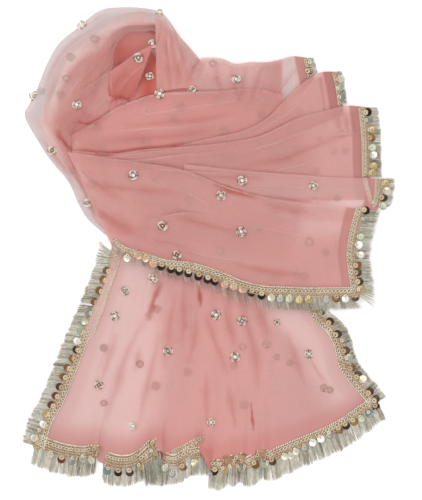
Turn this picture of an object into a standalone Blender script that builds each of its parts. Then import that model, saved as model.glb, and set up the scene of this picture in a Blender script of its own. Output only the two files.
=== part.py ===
"""A sheer net dupatta stole with a gold lace border, folded and laid flat on a table.

Sizes are in millimetres until a mesh is made. x runs to the right, y runs away from the ruffled
hem and z up from the table. The origin is on the table, under the middle of the stole.
"""

import bmesh
import bpy
import numpy as np

MM = 0.001

WALL = 1.5              # thickness of a net wall
SEAM = 0.3              # gap between pieces that touch
LAYER_RISE = 3.0        # from one folded layer's middle to the next
BRAID_WIDTH = 15.0
BRAID_BASE = 0.7        # thickness of the braid at its net side
ROPE_HEIGHT = 1.9       # the bright rope along the braid's net side
CHAIN_HEIGHT = 1.6      # the chain loops along its middle
RING_HEIGHT = 1.0
BRAID_PROFILE = ((0.0, BRAID_BASE), (0.2, ROPE_HEIGHT), (0.62, CHAIN_HEIGHT), (1.0, RING_HEIGHT))
BETWEEN_RINGS = 0.82    # share of its height that the braid keeps between its rings
SCALLOP_REACH = 1.6     # how far the ring edge stands out at every other ring
STRIP_WIDTH = 2.2       # the fringe's heading, beside the cloth's edge
STRIP_HALF = 0.5
LOCK_PITCH = 9.4        # one lock of fringe to the next
LOCK_NARROWING = 0.2    # share of a lock's width that each side loses towards its tip
STRIP_TOGETHER = 0.6    # how far the heading keeps to one direction where its edge waves
STRIP_LOWEST = 0.05     # the heading's lower side never touches the table
LOCKS_TOGETHER = 0.65   # and how far the locks do
LOCK_RAGGED = ((0.05, 2.4), (0.03, 5.3))    # uneven ends: share of a lock's length, turn per lock
HEM_FRINGE_LENGTH = 28.0
EDGE_FRINGE_LENGTH = 19.0
LEFT_FRINGE_LENGTH = 21.0
RIGHT_FRINGE_LENGTH = 15.0
HEM_DROOP = 8.0         # how far the fringe's ends lie below its heading
SHEET_DROOP = 3.0
LEFT_DROOP = 1.0
LOWEST_TIP = 0.6        # fringe ends just above the table
SHARP_ANGLE = 50.0      # degrees between faces that meet in an edge

# Where the heap's surface lies: a place, the height of the cloth that shows and which layer it is
HEAP_COLUMNS = ("x", "y", "height", "layer")
HEAP = (
    (-150, 195, 34, 2), (-80, 225, 36, 2), (-20, 215, 34, 2), (40, 235, 24, 2),
    (-10, 280, 13, 1), (70, 268, 8, 1), (135, 278, 3, 1),
    (160, 250, 7, 3), (190, 235, 5, 3), (110, 200, 16, 3), (60, 172, 24, 3),
    (0, 160, 32, 4), (-100, 145, 38, 4), (130, 150, 16, 4), (190, 150, 9, 4),
    (245, 190, 4, 4), (240, 120, 4, 4), (60, 110, 24, 5), (255, 85, 5, 5), (245, 65, 5, 5),
    (-200, 140, 30, 6), (-185, 90, 24, 6), (-165, 50, 17, 6), (-148, 18, 13, 6),
    (-90, 100, 40, 6), (-90, 40, 30, 6), (-80, 0, 16, 6), (-30, -15, 15, 6),
    (0, 60, 33, 6), (0, 10, 22, 6), (60, 60, 28, 6), (80, -10, 20, 6), (80, -50, 14, 6),
    (130, 60, 21, 6), (150, 0, 16, 6), (150, -50, 13, 6),
    (200, -50, 10, 6), (212, 0, 9, 6), (200, 55, 13, 6),
)
HEAP_REACH = 30.0

# The deep opening in the middle of the turn
WELL_PLACE = (-112.0, 272.0)
WELL_RADII = (32.0, 50.0)
WELL_DEPTH = 18.0

# The lower panel's edges, at the outer side of the braid
PALLU_LEFT = ((-148, 12), (-153, -17), (-173, -72), (-201, -138), (-222, -192), (-237, -227),
              (-252, -254), (-264, -294))
PALLU_RIGHT = ((146, -36), (156, -75), (165, -96), (186, -116), (197, -138), (206, -170),
               (224, -195), (240, -213), (250, -228))
PALLU_TOP = ((-148, 12), (-100, 16), (-60, 4), (0, -10), (60, -22), (120, -31), (146, -36))
PALLU_HEM = ((-264, -294), (-160, -316), (-60, -322), (30, -320), (100, -308), (180, -276),
             (250, -228))

# The hem as it is ruffled: a row for each turn of the edge, and the stretch of lace that starts
# there (0 where the edge turns back and its lace is hidden)
HEM_COLUMNS = ("x", "y", "height", "lace")
HEM = (
    (-264, -294, 0.8, 1), (-224, -309, 0.8, 1), (-189, -313, 3, 1), (-171, -311, 8, 0),
    (-168, -317, 4, 0), (-162, -320, 1, 2), (-140, -327, 0.8, 2), (-117, -325, 2, 2),
    (-98, -313, 8, 2), (-81, -296, 17, 0), (-72, -304, 13, 0), (-73, -319, 5, 3),
    (-56, -325, 0.8, 3), (-34, -314, 0.8, 3), (-19, -303, 2, 0), (-14, -305, 8, 0),
    (-9, -313, 14, 0), (-5, -324, 12, 0), (-2, -331, 7, 4), (5, -332, 4, 4),
    (13, -333, 5, 4), (20, -331, 4, 4), (27, -324, 6, 4), (34, -328, 3, 4), (44, -321, 6, 4),
    (54, -328, 1, 5), (68, -323, 2, 5), (78, -316, 7, 5), (88, -320, 1.5, 6),
    (104, -312, 0.8, 6), (134, -298, 0.8, 6), (167, -284, 0.8, 6), (201, -266, 0.8, 6),
    (231, -243, 0.8, 6), (250, -228, 1.5, 6),
)
HEM_STEP = 19.0         # longest stretch of hem between two stations
PALLU_ROWS = 11
FOLD_FADE = 60.0        # how far above the hem its turns have sunk into the panel
RISE_FADE = 95.0        # how far above the hem its waves stand up

# Pleats fanning down from the gathered top: place across, height, half-width across and how far
# down the panel they reach
PLEAT_COLUMNS = ("place", "height", "width", "reach")
PALLU_PLEATS = (
    (0.15, 3, 0.030, 0.35), (0.22, 6, 0.020, 0.55), (0.29, 4, 0.025, 0.45),
    (0.36, 6, 0.022, 0.60), (0.43, 6, 0.020, 0.65), (0.50, 4, 0.025, 0.45),
    (0.57, 6, 0.022, 0.55), (0.64, 4, 0.025, 0.50), (0.72, 5, 0.025, 0.45),
    (0.81, 3, 0.030, 0.35),
)
RIGHT_ROLL = 9.0        # the panel's right border stands up and rolls over
RIGHT_ROLL_WIDTH = 38.0
RIGHT_ROLL_START = 0.3  # share of the panel's length above the roll
RIGHT_ROLL_FULLNESS = 0.7
FADE_POWER = 1.5        # how sharply the hem's turns and waves die away
CORNER_CLEAR = 1.3      # braid widths at either corner that take no station of the hem's own

# The stepped layers: four edges each, all read away from the top left corner, the layer's place
# in the stack, its stations along and across, and its lace's width and fringe as they lie
SHEETS = {
    "back_sheet": {
        "layer": 1, "columns": 9, "rows": 4, "laced": "right", "lace": 8, "fringe": 8,
        "top": ((-14, 288), (20, 285), (33, 279), (60, 281), (86, 281), (104, 285), (120, 290),
                (146, 288)),
        "right": ((146, 288), (150, 275), (155, 257)),
        "bottom": ((-36, 236), (10, 222), (60, 212), (100, 218), (135, 236), (155, 257)),
        "left": ((-14, 288), (-25, 262), (-36, 236)),
    },
    "band_roll": {
        "layer": 2, "columns": 16, "rows": 5, "laced": "", "lace": 0, "fringe": 0,
        "top": ((-215, 168), (-200, 176), (-180, 186), (-161, 198), (-144, 210), (-126, 218),
                (-111, 224), (-95, 230), (-77, 233), (0, 236), (44, 240), (85, 238), (112, 230)),
        "right": ((112, 230), (102, 208), (80, 182)),
        "bottom": ((-198, 134), (-160, 125), (-100, 128), (0, 142), (80, 182)),
        "left": ((-215, 168), (-207, 150), (-198, 134)),
    },
    "pleat_2": {
        "layer": 3, "columns": 14, "rows": 4, "laced": "right", "lace": 8, "fringe": 7,
        "top": ((-60, 152), (0, 167), (48, 177), (80, 194), (108, 221), (149, 258), (165, 266),
                (189, 267)),
        "right": ((189, 267), (194, 245), (197, 222), (199, 203)),
        "bottom": ((-62, 128), (0, 135), (72, 148), (134, 174), (199, 203)),
        "left": ((-60, 152), (-62, 128)),
    },
    "pleat_3": {
        "layer": 4, "columns": 18, "rows": 8, "laced": "right", "lace": 13, "fringe": 18,
        "top": ((-208, 148), (-183, 146), (-135, 144), (-102, 149), (0, 157), (72, 170),
                (134, 198), (168, 207), (203, 216), (233, 214)),
        "right": ((233, 214), (237, 180), (238, 140), (239, 110), (243, 76)),
        "bottom": ((-190, 112), (-100, 106), (0, 92), (100, 80), (180, 74), (243, 76)),
        "left": ((-208, 148), (-199, 130), (-190, 112)),
    },
    "pleat_4": {
        "layer": 5, "columns": 12, "rows": 4, "laced": "right", "lace": 12, "fringe": 18,
        "top": ((-40, 128), (0, 123), (60, 117), (130, 112), (200, 108), (258, 107)),
        "right": ((258, 107), (257, 88), (253, 68), (244, 51)),
        "bottom": ((-40, 88), (0, 76), (69, 56), (130, 46), (190, 42), (244, 51)),
        "left": ((-40, 128), (-40, 88)),
    },
    "front_drape": {
        "layer": 6, "columns": 21, "rows": 9, "laced": "right bottom", "lace": 15, "fringe": 23,
        "top": ((-214, 146), (-160, 138), (-110, 130), (-40, 118), (21, 95), (69, 81), (130, 71),
                (190, 65), (231, 60)),
        "right": ((231, 60), (222, 30), (218, 11), (216, -8), (218, -30), (221, -50), (223, -70)),
        "bottom": ((-150, 10), (-135, -3), (-102, -15), (-74, -26), (-33, -33), (6, -46),
                   (39, -61), (78, -70), (111, -71), (144, -72), (180, -71), (223, -70)),
        "left": ((-214, 146), (-190, 95), (-170, 50), (-150, 10)),
    },
}
NARROW_LACE = 9.0       # the drape's border looks narrow where it turns down at the left
NARROW_SHARE = 0.6      # share of the border along which it widens

# Stations of each layer's right edge whose lace shows
SHOWN_LACE = {"back_sheet": 5, "pleat_2": 4, "pleat_3": 7, "pleat_4": 4, "front_drape": 12}

# The puffed turn: places on its rim, where its top ends inside, its crown's height and how far
# in from the rim it has risen to it
RIM_COLUMNS = ("rim_x", "rim_y", "inner_x", "inner_y", "crown", "puff")
TURN_RIM = (
    (-87, 360, -88, 326, 36, 22), (-102, 362, -97, 324, 40, 26), (-135, 363, -124, 322, 42, 30),
    (-164, 359, -141, 302, 44, 38), (-200, 332, -146, 276, 44, 42),
    (-228, 308, -151, 256, 44, 45), (-245, 279, -154, 238, 44, 45),
    (-260, 242, -150, 220, 42, 45), (-271, 220, -158, 199, 40, 44),
    (-278, 198, -198, 174, 36, 36), (-262, 168, -205, 152, 27, 28),
    (-243, 138, -200, 122, 20, 24), (-213, 101, -178, 84, 14, 20), (-197, 66, -166, 53, 10, 16),
    (-186, 48, -158, 36, 9, 14), (-160, 24, -138, 26, 8, 11),
)
FAN_RIM = (
    (-24, 294, -44, 241, 16, 22), (-32, 304, -50, 240, 24, 26), (-47, 320, -58, 239, 30, 30),
    (-63, 344, -68, 237, 34, 30), (-74, 355, -76, 236, 36, 26), (-83, 358, -81, 236, 36, 22),
)
TURN_STATIONS = 30
FAN_PLEATS = 6
FAN_PLEAT_HEIGHT = 2.6
FAN_STATIONS = 19
RIM_HALF_HEIGHT = 0.3   # the rim's outermost line, as a share of the crown's height
UNDER_ROLL = 9.0        # how far in the rim has come down to the table
UNDER_PUFF_SHARE = 0.45     # and at most this share of the puff's depth
UNDER_FLAP = 24.0       # where the flap below the turn ends
UNDER_FLAP_SHARE = 0.6  # and at most this share of the way to the top's inner end
UNDER_ANGLES = (90, 40)     # degrees round the rim, from the table up
UPPER_ANGLES = (0, 24, 50, 90)
TOP_SHARES = (0.34, 0.68, 1.0)  # stations from the crown to the top's inner end
TOP_SINKING = 1.5       # how soon the top has come down onto the layers inside
TURN_LOWEST = 5.5       # the turn's top never sinks onto its own flap

INNER_TURN = {
    "columns": 8, "rows": 5,
    "top": ((-141, 264), (-114, 288), (-92, 304)),
    "right": ((-92, 304), (-89, 270), (-89, 240)),
    "bottom": ((-134, 224), (-112, 218), (-89, 224)),
    "left": ((-141, 264), (-139, 244), (-134, 224)),
}
INNER_TOP = 31.0        # heights of the inner fold's ridge and of its lower edge
INNER_BOTTOM = 25.8

# The rounded solid of hidden layers
CORE = {
    "columns": 20, "rows": 14,
    "top": ((-205, 280), (-175, 306), (-140, 318), (-100, 318), (-76, 300), (-40, 268),
            (0, 264), (60, 258), (106, 250)),
    "right": ((106, 250), (126, 226), (146, 190), (162, 140), (158, 90), (142, 30), (118, -28.2)),
    "bottom": ((-98, 18.6), (-60, 6.8), (0, -7.2), (60, -19.2), (118, -28.2)),
    "left": ((-205, 280), (-226, 240), (-236, 200), (-218, 160), (-186, 118), (-158, 84),
             (-98, 18.6)),
}
CORE_TOP_GAP = 1.4      # from the first layer's middle down to the core
CORE_SHOULDER = 0.5     # share of its height that the core loses at its very edge
CORE_SHOULDER_WIDTH = 0.16
CORE_LOWEST = 3.0
# Folded edges down its sides: share of the height, and how far each stands out
CORE_FOLDS = ((0.86, 1.6), (0.70, 0.4), (0.54, 2.0), (0.38, 0.6), (0.20, 1.8), (0.0, 0.8))

NET_LOOK = {"colour": (0.72, 0.34, 0.31, 1), "roughness": 0.7, "metallic": 0.0}
DEEP_LOOK = {"colour": (0.60, 0.22, 0.19, 1), "roughness": 0.7, "metallic": 0.0}
BRAID_LOOK = {"colour": (0.62, 0.46, 0.28, 1), "roughness": 0.4, "metallic": 0.7}
FRINGE_LOOK = {"colour": (0.58, 0.54, 0.42, 1), "roughness": 0.35, "metallic": 0.8}


def column(table, names, name):
    """One named column of a table, as an array."""
    return np.array([row[names.index(name)] for row in table], float)


def smooth(value):
    """A soft step from 0 to 1."""
    value = np.clip(value, 0, 1)
    return value * value * (3 - 2 * value)


def curve(rows):
    """A smooth curve through the rows, read at places 0..1 along its length."""
    knots = np.array(rows, float)
    steps = np.linalg.norm(np.diff(knots, axis=0), axis=1)
    places = np.concatenate([[0], np.cumsum(steps)]) / steps.sum()
    slopes = np.gradient(knots, places, axis=0)

    def read(place):
        place = np.clip(np.asarray(place, float), 0, 1)
        span = np.clip(np.searchsorted(places, place, side="right") - 1, 0, len(places) - 2)
        width = (places[span + 1] - places[span])[..., None]
        t = (place - places[span])[..., None] / width
        return ((2 * t**3 - 3 * t**2 + 1) * knots[span]
                + (t**3 - 2 * t**2 + t) * width * slopes[span]
                + (3 * t**2 - 2 * t**3) * knots[span + 1]
                + (t**3 - t**2) * width * slopes[span + 1])

    return read


def patch(edges, across, down):
    """Places on a four-sided patch of cloth; across and down run 0..1 over its stations."""
    top, bottom = curve(edges["top"]), curve(edges["bottom"])
    left, right = curve(edges["left"]), curve(edges["right"])
    u, v = across[..., None], down[..., None]
    corners = ((1 - u) * (1 - v) * top(0) + u * (1 - v) * top(1)
               + (1 - u) * v * bottom(0) + u * v * bottom(1))
    return ((1 - v) * top(across) + v * bottom(across)
            + (1 - u) * left(down) + u * right(down) - corners)


def heap_floor(place):
    """Height below the first layer of the heap, with the turn's opening sunk into it."""
    away = np.hypot(place[..., 0, None] - column(HEAP, HEAP_COLUMNS, "x"),
                    place[..., 1, None] - column(HEAP, HEAP_COLUMNS, "y"))
    weight = (1 + (away / HEAP_REACH) ** 2) ** -3
    level = (column(HEAP, HEAP_COLUMNS, "height")
             - LAYER_RISE * column(HEAP, HEAP_COLUMNS, "layer"))
    ground = (weight * level).sum(axis=-1) / weight.sum(axis=-1)
    sunk = np.exp(-((place[..., 0] - WELL_PLACE[0]) / WELL_RADII[0]) ** 2
                  - ((place[..., 1] - WELL_PLACE[1]) / WELL_RADII[1]) ** 2)
    return ground - WELL_DEPTH * sunk


def raised(place, height):
    """Places in the plane with their heights added."""
    return np.concatenate([place, np.broadcast_to(height, place.shape[:-1])[..., None]], axis=-1)


def outward(grid):
    """Unit normals of a grid of points, on the side that faces up where it lies flat."""
    along = np.gradient(grid, axis=1)
    down = np.gradient(grid, axis=0)
    normal = np.cross(along, -down)
    return normal / np.linalg.norm(normal, axis=-1, keepdims=True)


def add_piece(name, points, faces, look):
    """One closed solid as a named object with its own material."""
    mesh = bpy.data.meshes.new(name)
    mesh.from_pydata([tuple(point * MM) for point in points], [], faces)
    shell = bmesh.new()
    shell.from_mesh(mesh)
    bmesh.ops.recalc_face_normals(shell, faces=shell.faces)
    shell.to_mesh(mesh)
    shell.free()
    mesh.shade_smooth()
    mesh.set_sharp_from_angle(angle=np.radians(SHARP_ANGLE))
    material = bpy.data.materials.new(name)
    material.use_nodes = True
    shader = material.node_tree.nodes["Principled BSDF"]
    shader.inputs["Base Color"].default_value = look["colour"]
    shader.inputs["Roughness"].default_value = look["roughness"]
    shader.inputs["Metallic"].default_value = look["metallic"]
    mesh.materials.append(material)
    bpy.context.collection.objects.link(bpy.data.objects.new(name, mesh))


def grid_faces(rows, columns, start=0, flip=False):
    """Triangles over a grid of points, each cell split the same way."""
    faces = []
    for row in range(rows - 1):
        for place in range(columns - 1):
            a = start + row * columns + place
            b, c, d = a + 1, a + columns + 1, a + columns
            cell = [(a, d, c), (a, c, b)]
            faces += [triangle[::-1] for triangle in cell] if flip else cell
    return faces


def rim_of(rows, columns):
    """Indices round the edge of a grid of points."""
    return (list(range(columns))
            + [row * columns + columns - 1 for row in range(1, rows)]
            + [(rows - 1) * columns + place for place in range(columns - 2, -1, -1)]
            + [row * columns for row in range(rows - 2, 0, -1)])


def add_wall(name, grid, look):
    """A wall of cloth on a grid of points at its middle."""
    rows, columns, _ = grid.shape
    lift = outward(grid) * WALL / 2
    upper = (grid + lift).reshape(-1, 3)
    lower = (grid - lift).reshape(-1, 3)
    upper[:, 2] = np.maximum(upper[:, 2], 0)
    lower[:, 2] = np.maximum(lower[:, 2], 0)
    count = rows * columns
    faces = grid_faces(rows, columns) + grid_faces(rows, columns, start=count, flip=True)
    edge = rim_of(rows, columns)
    for a, b in zip(edge, edge[1:] + edge[:1]):
        faces += [(a, b, count + b), (a, count + b, count + a)]
    add_piece(name, np.concatenate([upper, lower]), faces, look)


def parts_of(length):
    """How many locks of fringe a stretch of edge takes."""
    return max(1, round(length / LOCK_PITCH))


def between(rows, station, share):
    """Points part of the way from one station of a strip to the next."""
    return rows[station] * (1 - share) + rows[station + 1] * share


def across_braid(points, share):
    """A point part of the way across the braid's three points at a station."""
    if share <= 0.5:
        return points[0] * (1 - 2 * share) + points[1] * 2 * share
    return points[1] * (2 - 2 * share) + points[2] * (2 * share - 1)


def braid_section(points, normals, ring):
    """The braid's outer points at one station; every other ring stands out."""
    section = []
    for share, height in BRAID_PROFILE:
        rise = height if ring else height * BETWEEN_RINGS
        section.append(across_braid(points, share) + across_braid(normals, share) * rise)
    outwards = points[2] - points[1]
    section[-1] = section[-1] + outwards / np.linalg.norm(outwards) * SCALLOP_REACH * ring
    return section


def add_braid(name, strip, normals):
    """Lace on three columns of a panel's outer points, from its net side to its edge."""
    base = strip + normals * SEAM
    back = base[-2] - base[-1]
    base[-1] += back / np.linalg.norm(back, axis=-1, keepdims=True) * SEAM * 2
    stations = len(base)
    points = [point for row in base for point in row]
    faces = grid_faces(stations, 3)
    sections = []
    ring = False
    starts = []
    for station in range(stations):
        starts.append(len(sections))
        last = station == stations - 1
        count = 1 if last else parts_of(np.linalg.norm(base[station + 1, 1] - base[station, 1]))
        for step in range(count):
            share = step / count
            row = base[station] if last else between(base, station, share)
            lean = normals[station] if last else between(normals, station, share)
            ring = not ring
            sections.append(braid_section(row, lean, ring))
    first_outer = len(points)
    points += [point for section in sections for point in section]
    width = len(BRAID_PROFILE)
    faces += grid_faces(len(sections), width, start=first_outer)
    for station in range(stations - 1):
        for low_side, high_side in ((0, 0), (2, width - 1)):
            a, b = station * 3 + low_side, (station + 1) * 3 + low_side
            chain = [first_outer + step * width + high_side
                     for step in range(starts[station], starts[station + 1] + 1)]
            faces += [(a, p, q) for p, q in zip(chain, chain[1:])]
            faces.append((a, chain[-1], b))
    for low, high in ((0, first_outer), ((stations - 1) * 3, len(points) - width)):
        faces += [(low, high, high + 1), (low, high + 1, low + 1), (low + 1, high + 1, high + 2),
                  (low + 1, high + 2, low + 2), (low + 2, high + 2, high + 3)]
    add_piece(name, points, faces, BRAID_LOOK)


def square_to(edge, inside):
    """Directions out of the cloth, square to its edge."""
    along = np.gradient(edge, axis=0)
    along = along / np.linalg.norm(along, axis=-1, keepdims=True)
    out = edge - inside
    out = out - (out * along).sum(axis=-1, keepdims=True) * along
    return out / np.linalg.norm(out, axis=-1, keepdims=True)


def add_fringe(name, edge, inside, normals, length, droop):
    """A heading strip beside a cloth's edge with wedge-shaped locks along it."""
    out_of_edge = square_to(edge, inside)
    places, outs, ups = [], [], []
    for station in range(len(edge) - 1):
        count = parts_of(np.linalg.norm(edge[station + 1] - edge[station]))
        for step in range(count):
            share = step / count
            places.append(between(edge, station, share))
            outs.append(between(out_of_edge, station, share))
            ups.append(between(normals, station, share))
    places.append(edge[-1])
    outs.append(out_of_edge[-1])
    ups.append(normals[-1])
    points, faces = [], []
    general = sum(outs) / np.linalg.norm(sum(outs))
    for place, out, up in zip(places, outs, ups):
        out = out + general * STRIP_TOGETHER
        out = out / np.linalg.norm(out)
        near, far = place + out * SEAM, place + out * (SEAM + STRIP_WIDTH)
        for at, side in ((near, -1), (near, 1), (far, 1), (far, -1)):
            point = at + up * side * STRIP_HALF
            point[2] = max(point[2], STRIP_LOWEST + (1 + side) * STRIP_HALF)
            points.append(point)
    lock_count = len(places) - 1
    tips = len(points)
    for lock in range(lock_count):
        a, b = lock * 4, lock * 4 + 4
        root_a = (points[a + 2] + points[a + 3]) / 2
        root_b = (points[b + 2] + points[b + 3]) / 2
        out = (outs[lock] + outs[lock + 1]) / 2 * (1 - LOCKS_TOGETHER) + general * LOCKS_TOGETHER
        out = out / np.linalg.norm(out)
        reach = length * (1 + sum(share * np.sin(turn * lock) for share, turn in LOCK_RAGGED))
        for near, far in ((root_a, root_b), (root_b, root_a)):
            tip = near + (far - near) * LOCK_NARROWING + out * reach
            tip[2] = max(near[2] - droop, LOWEST_TIP)
            points.append(tip)
        tip_a, tip_b = tips + 2 * lock, tips + 2 * lock + 1
        faces += [(a, b, b + 1), (a, b + 1, a + 1),
                  (a + 1, b + 1, b + 2), (a + 1, b + 2, a + 2),
                  (a, a + 3, b + 3), (a, b + 3, b),
                  (a + 2, b + 2, tip_b), (a + 2, tip_b, tip_a),
                  (a + 3, tip_a, tip_b), (a + 3, tip_b, b + 3),
                  (a + 2, tip_a, a + 3), (b + 2, b + 3, tip_b)]
    end = lock_count * 4
    faces += [(0, 1, 2), (0, 2, 3), (end, end + 2, end + 1), (end, end + 3, end + 2)]
    add_piece(name, points, faces, FRINGE_LOOK)
    return lock_count


def spread(count, length, end_band=0.0):
    """Stations 0..1 along a length, with three of them across the braid at its end."""
    last = [length - end_band, length - end_band / 2, length] if end_band else [length]
    inner = np.linspace(0, last[0], count + 1)[:-1]
    return np.concatenate([inner, last]) / length


def length_of(rows):
    """Length of an edge."""
    return np.linalg.norm(np.diff(np.array(rows, float), axis=0), axis=1).sum()


def sheet_grid(sheet):
    """Middle points of one stepped layer."""
    width = length_of(sheet["top"])
    height = length_of(sheet["right"])
    across = spread(sheet["columns"], width, end_band=sheet["lace"])
    if "bottom" in sheet["laced"]:
        bands = NARROW_LACE + (BRAID_WIDTH - NARROW_LACE) * smooth(across / NARROW_SHARE)
        down = np.stack([spread(sheet["rows"], height, end_band=band) for band in bands], axis=1)
    else:
        down = np.repeat(spread(sheet["rows"], height)[:, None], len(across), axis=1)
    across = np.repeat(across[None, :], down.shape[0], axis=0)
    place = patch(sheet, across, down)
    return raised(place, heap_floor(place) + LAYER_RISE * sheet["layer"])


def add_sheets():
    """The stepped layers with the lace along their right edges and the front's lower edge."""
    locks = 0
    for name, sheet in SHEETS.items():
        grid = sheet_grid(sheet)
        add_wall(name, grid, NET_LOOK)
        normal = outward(grid)
        skin = grid + normal * WALL / 2
        if "right" in sheet["laced"]:
            rows = slice(0, SHOWN_LACE[name])
            add_braid(f"braid_{name}_end", skin[rows, -3:], normal[rows, -3:])
            locks += add_fringe(f"fringe_{name}_end", grid[rows, -1], grid[rows, -2],
                                normal[rows, -1], sheet["fringe"], SHEET_DROOP)
        if "bottom" in sheet["laced"]:
            strip = skin[-3:, :-2].transpose(1, 0, 2)
            add_braid(f"braid_{name}_edge", strip, normal[-3:, :-2].transpose(1, 0, 2))
            locks += add_fringe(f"fringe_{name}_edge", grid[-1], grid[-2], normal[-1],
                                EDGE_FRINGE_LENGTH, SHEET_DROOP)
    return locks


def hem_stations():
    """The ruffled hem's points, the places along it and the lace stretch of each cell."""
    points = np.stack([column(HEM, HEM_COLUMNS, name) for name in ("x", "y", "height")], axis=-1)
    lace = column(HEM, HEM_COLUMNS, "lace").astype(int)
    lengths = np.linalg.norm(np.diff(points, axis=0), axis=1)
    knots = np.concatenate([[0], np.cumsum(lengths)]) / lengths.sum()
    places, cells = [], []
    for turn, length in enumerate(lengths):
        count = max(1, round(length / HEM_STEP))
        places += list(knots[turn] + (knots[turn + 1] - knots[turn]) * np.arange(count) / count)
        cells += [lace[turn]] * count
    places.append(1.0)
    total = lengths.sum()
    band = [BRAID_WIDTH / 2 / total, BRAID_WIDTH / total]
    clear = band[1] * CORNER_CLEAR
    inner = [(at, cell) for at, cell in zip(places, cells) if clear < at < 1 - clear]
    places = [0, *band, *(at for at, _ in inner), 1 - band[1], 1 - band[0], 1]
    cells = [cells[0]] * 3 + [cell for _, cell in inner] + [cells[-1]] * 2
    return curve(points)(places), np.array(places), cells


def pallu_grid():
    """Middle points of the lower panel: pleated at the top, ruffled at the hem."""
    hem, places, cells = hem_stations()
    tall = length_of(PALLU_LEFT)
    down = spread(PALLU_ROWS, tall, end_band=BRAID_WIDTH)
    edges = {"top": PALLU_TOP, "bottom": PALLU_HEM, "left": PALLU_LEFT, "right": PALLU_RIGHT}
    left, right = curve(PALLU_LEFT)(down), curve(PALLU_RIGHT)(down)
    widths = np.linalg.norm(right - left, axis=-1)
    band = BRAID_WIDTH / widths
    inner = (places - places[2]) / (places[-3] - places[2])
    across = band[:, None] + inner[None, :] * (1 - 2 * band[:, None])
    across[:, 0], across[:, 1] = 0, band / 2
    across[:, -1], across[:, -2] = 1, 1 - band / 2
    rows = np.repeat(down[:, None], len(places), axis=1)
    place = patch(edges, across, rows)
    above_hem = (1 - rows) * tall
    turned = np.exp(-(above_hem / FOLD_FADE) ** FADE_POWER)
    waved = np.exp(-(above_hem / RISE_FADE) ** FADE_POWER)
    place = place + turned[..., None] * (hem[:, :2] - curve(PALLU_HEM)(across[-1]))
    height = np.full(rows.shape, WALL / 2)
    for pleat in PALLU_PLEATS:
        middle, rise, width, reach = (pleat[PLEAT_COLUMNS.index(name)] for name in PLEAT_COLUMNS)
        ridge = np.exp(-((across - middle) / width) ** 2)
        height = height + rise * ridge * smooth(1 - rows / reach)
    height = height + waved * (hem[:, 2] - WALL / 2)
    from_right = (1 - across) * widths[:, None]
    roll = RIGHT_ROLL * smooth(1 - from_right / RIGHT_ROLL_WIDTH)
    along = np.clip((rows - RIGHT_ROLL_START) / (1 - RIGHT_ROLL_START), 0, 1)
    height = height + roll * np.sin(np.pi * along) ** RIGHT_ROLL_FULLNESS
    return raised(place, np.maximum(height, WALL / 2)), cells


def add_pallu():
    """The lower panel with the lace along its left edge, its hem and its right edge."""
    grid, cells = pallu_grid()
    add_wall("pallu_panel", grid, NET_LOOK)
    normal = outward(grid)
    skin = grid + normal * WALL / 2
    locks = 0
    side_rows = slice(1, grid.shape[0] - 2)
    add_braid("braid_pallu_left", skin[side_rows, 2::-1], normal[side_rows, 2::-1])
    locks += add_fringe("fringe_pallu_left", grid[1:, 0], grid[1:, 1], normal[1:, 0],
                        LEFT_FRINGE_LENGTH, LEFT_DROOP)
    shown = slice(3, grid.shape[0] - 2)
    add_braid("braid_pallu_right", skin[shown, -3:], normal[shown, -3:])
    locks += add_fringe("fringe_pallu_right", grid[3:, -1], grid[3:, -2], normal[3:, -1],
                        RIGHT_FRINGE_LENGTH, RIGHT_ROLL)
    for stretch in range(1, max(cells) + 1):
        columns = [place for place, cell in enumerate(cells) if cell == stretch]
        along = slice(columns[0], columns[-1] + 2)
        strip = skin[-3:, along].transpose(1, 0, 2)
        add_braid(f"braid_hem_{stretch}", strip, normal[-3:, along].transpose(1, 0, 2))
        locks += add_fringe(f"fringe_hem_{stretch}", grid[-1, along], grid[-2, along],
                            normal[-1, along], HEM_FRINGE_LENGTH, HEM_DROOP)
    return locks


def turn_section(rim, inner, crown, puff):
    """Points of one section of the puffed turn, from its flap below to its top's inner end."""
    inwards = inner - rim
    reach = np.linalg.norm(inwards)
    inwards = inwards / reach
    half_height = crown * RIM_HALF_HEIGHT
    rest = WALL / 2
    under = min(UNDER_ROLL, puff * UNDER_PUFF_SHARE)
    depths = [min(UNDER_FLAP, reach * UNDER_FLAP_SHARE)]
    heights = [rest]
    for angle in np.radians(UNDER_ANGLES):
        depths.append(under * (1 - np.cos(angle)))
        heights.append(half_height - (half_height - rest) * np.sin(angle))
    for angle in np.radians(UPPER_ANGLES):
        depths.append(puff * (1 - np.cos(angle)))
        heights.append(half_height + (crown - half_height) * np.sin(angle))
    for share in TOP_SHARES:
        depths.append(puff + (reach - puff) * share)
        sunk = smooth(share * TOP_SINKING)
        layer = max(heap_floor(rim + depths[-1] * inwards) + LAYER_RISE, TURN_LOWEST)
        heights.append(crown + (layer - crown) * sunk)
    places = rim + np.outer(depths, inwards)
    return raised(places, np.array(heights))


def add_turn(name, rim_table, stations, pleats=0):
    """A stretch of the puffed turn as one C-shaped wall, with narrow pleats where it has them."""
    read = curve(rim_table)
    sections = []
    for share in np.linspace(0, 1, stations):
        at = dict(zip(RIM_COLUMNS, read(share)))
        rim, inner = np.array([at["rim_x"], at["rim_y"]]), np.array([at["inner_x"], at["inner_y"]])
        ripple = FAN_PLEAT_HEIGHT * np.cos(2 * np.pi * pleats * share) * bool(pleats)
        sections.append(turn_section(rim, inner, at["crown"] + ripple, at["puff"]))
    add_wall(name, np.array(sections), NET_LOOK)


def add_inner_turn():
    """The fold inside the turn's opening, high at its ridge."""
    across, down = np.meshgrid(np.linspace(0, 1, INNER_TURN["columns"]),
                               np.linspace(0, 1, INNER_TURN["rows"]))
    place = patch(INNER_TURN, across, down)
    height = INNER_TOP + (INNER_BOTTOM - INNER_TOP) * smooth(down)
    add_wall("inner_turn", raised(place, height), DEEP_LOOK)


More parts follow.
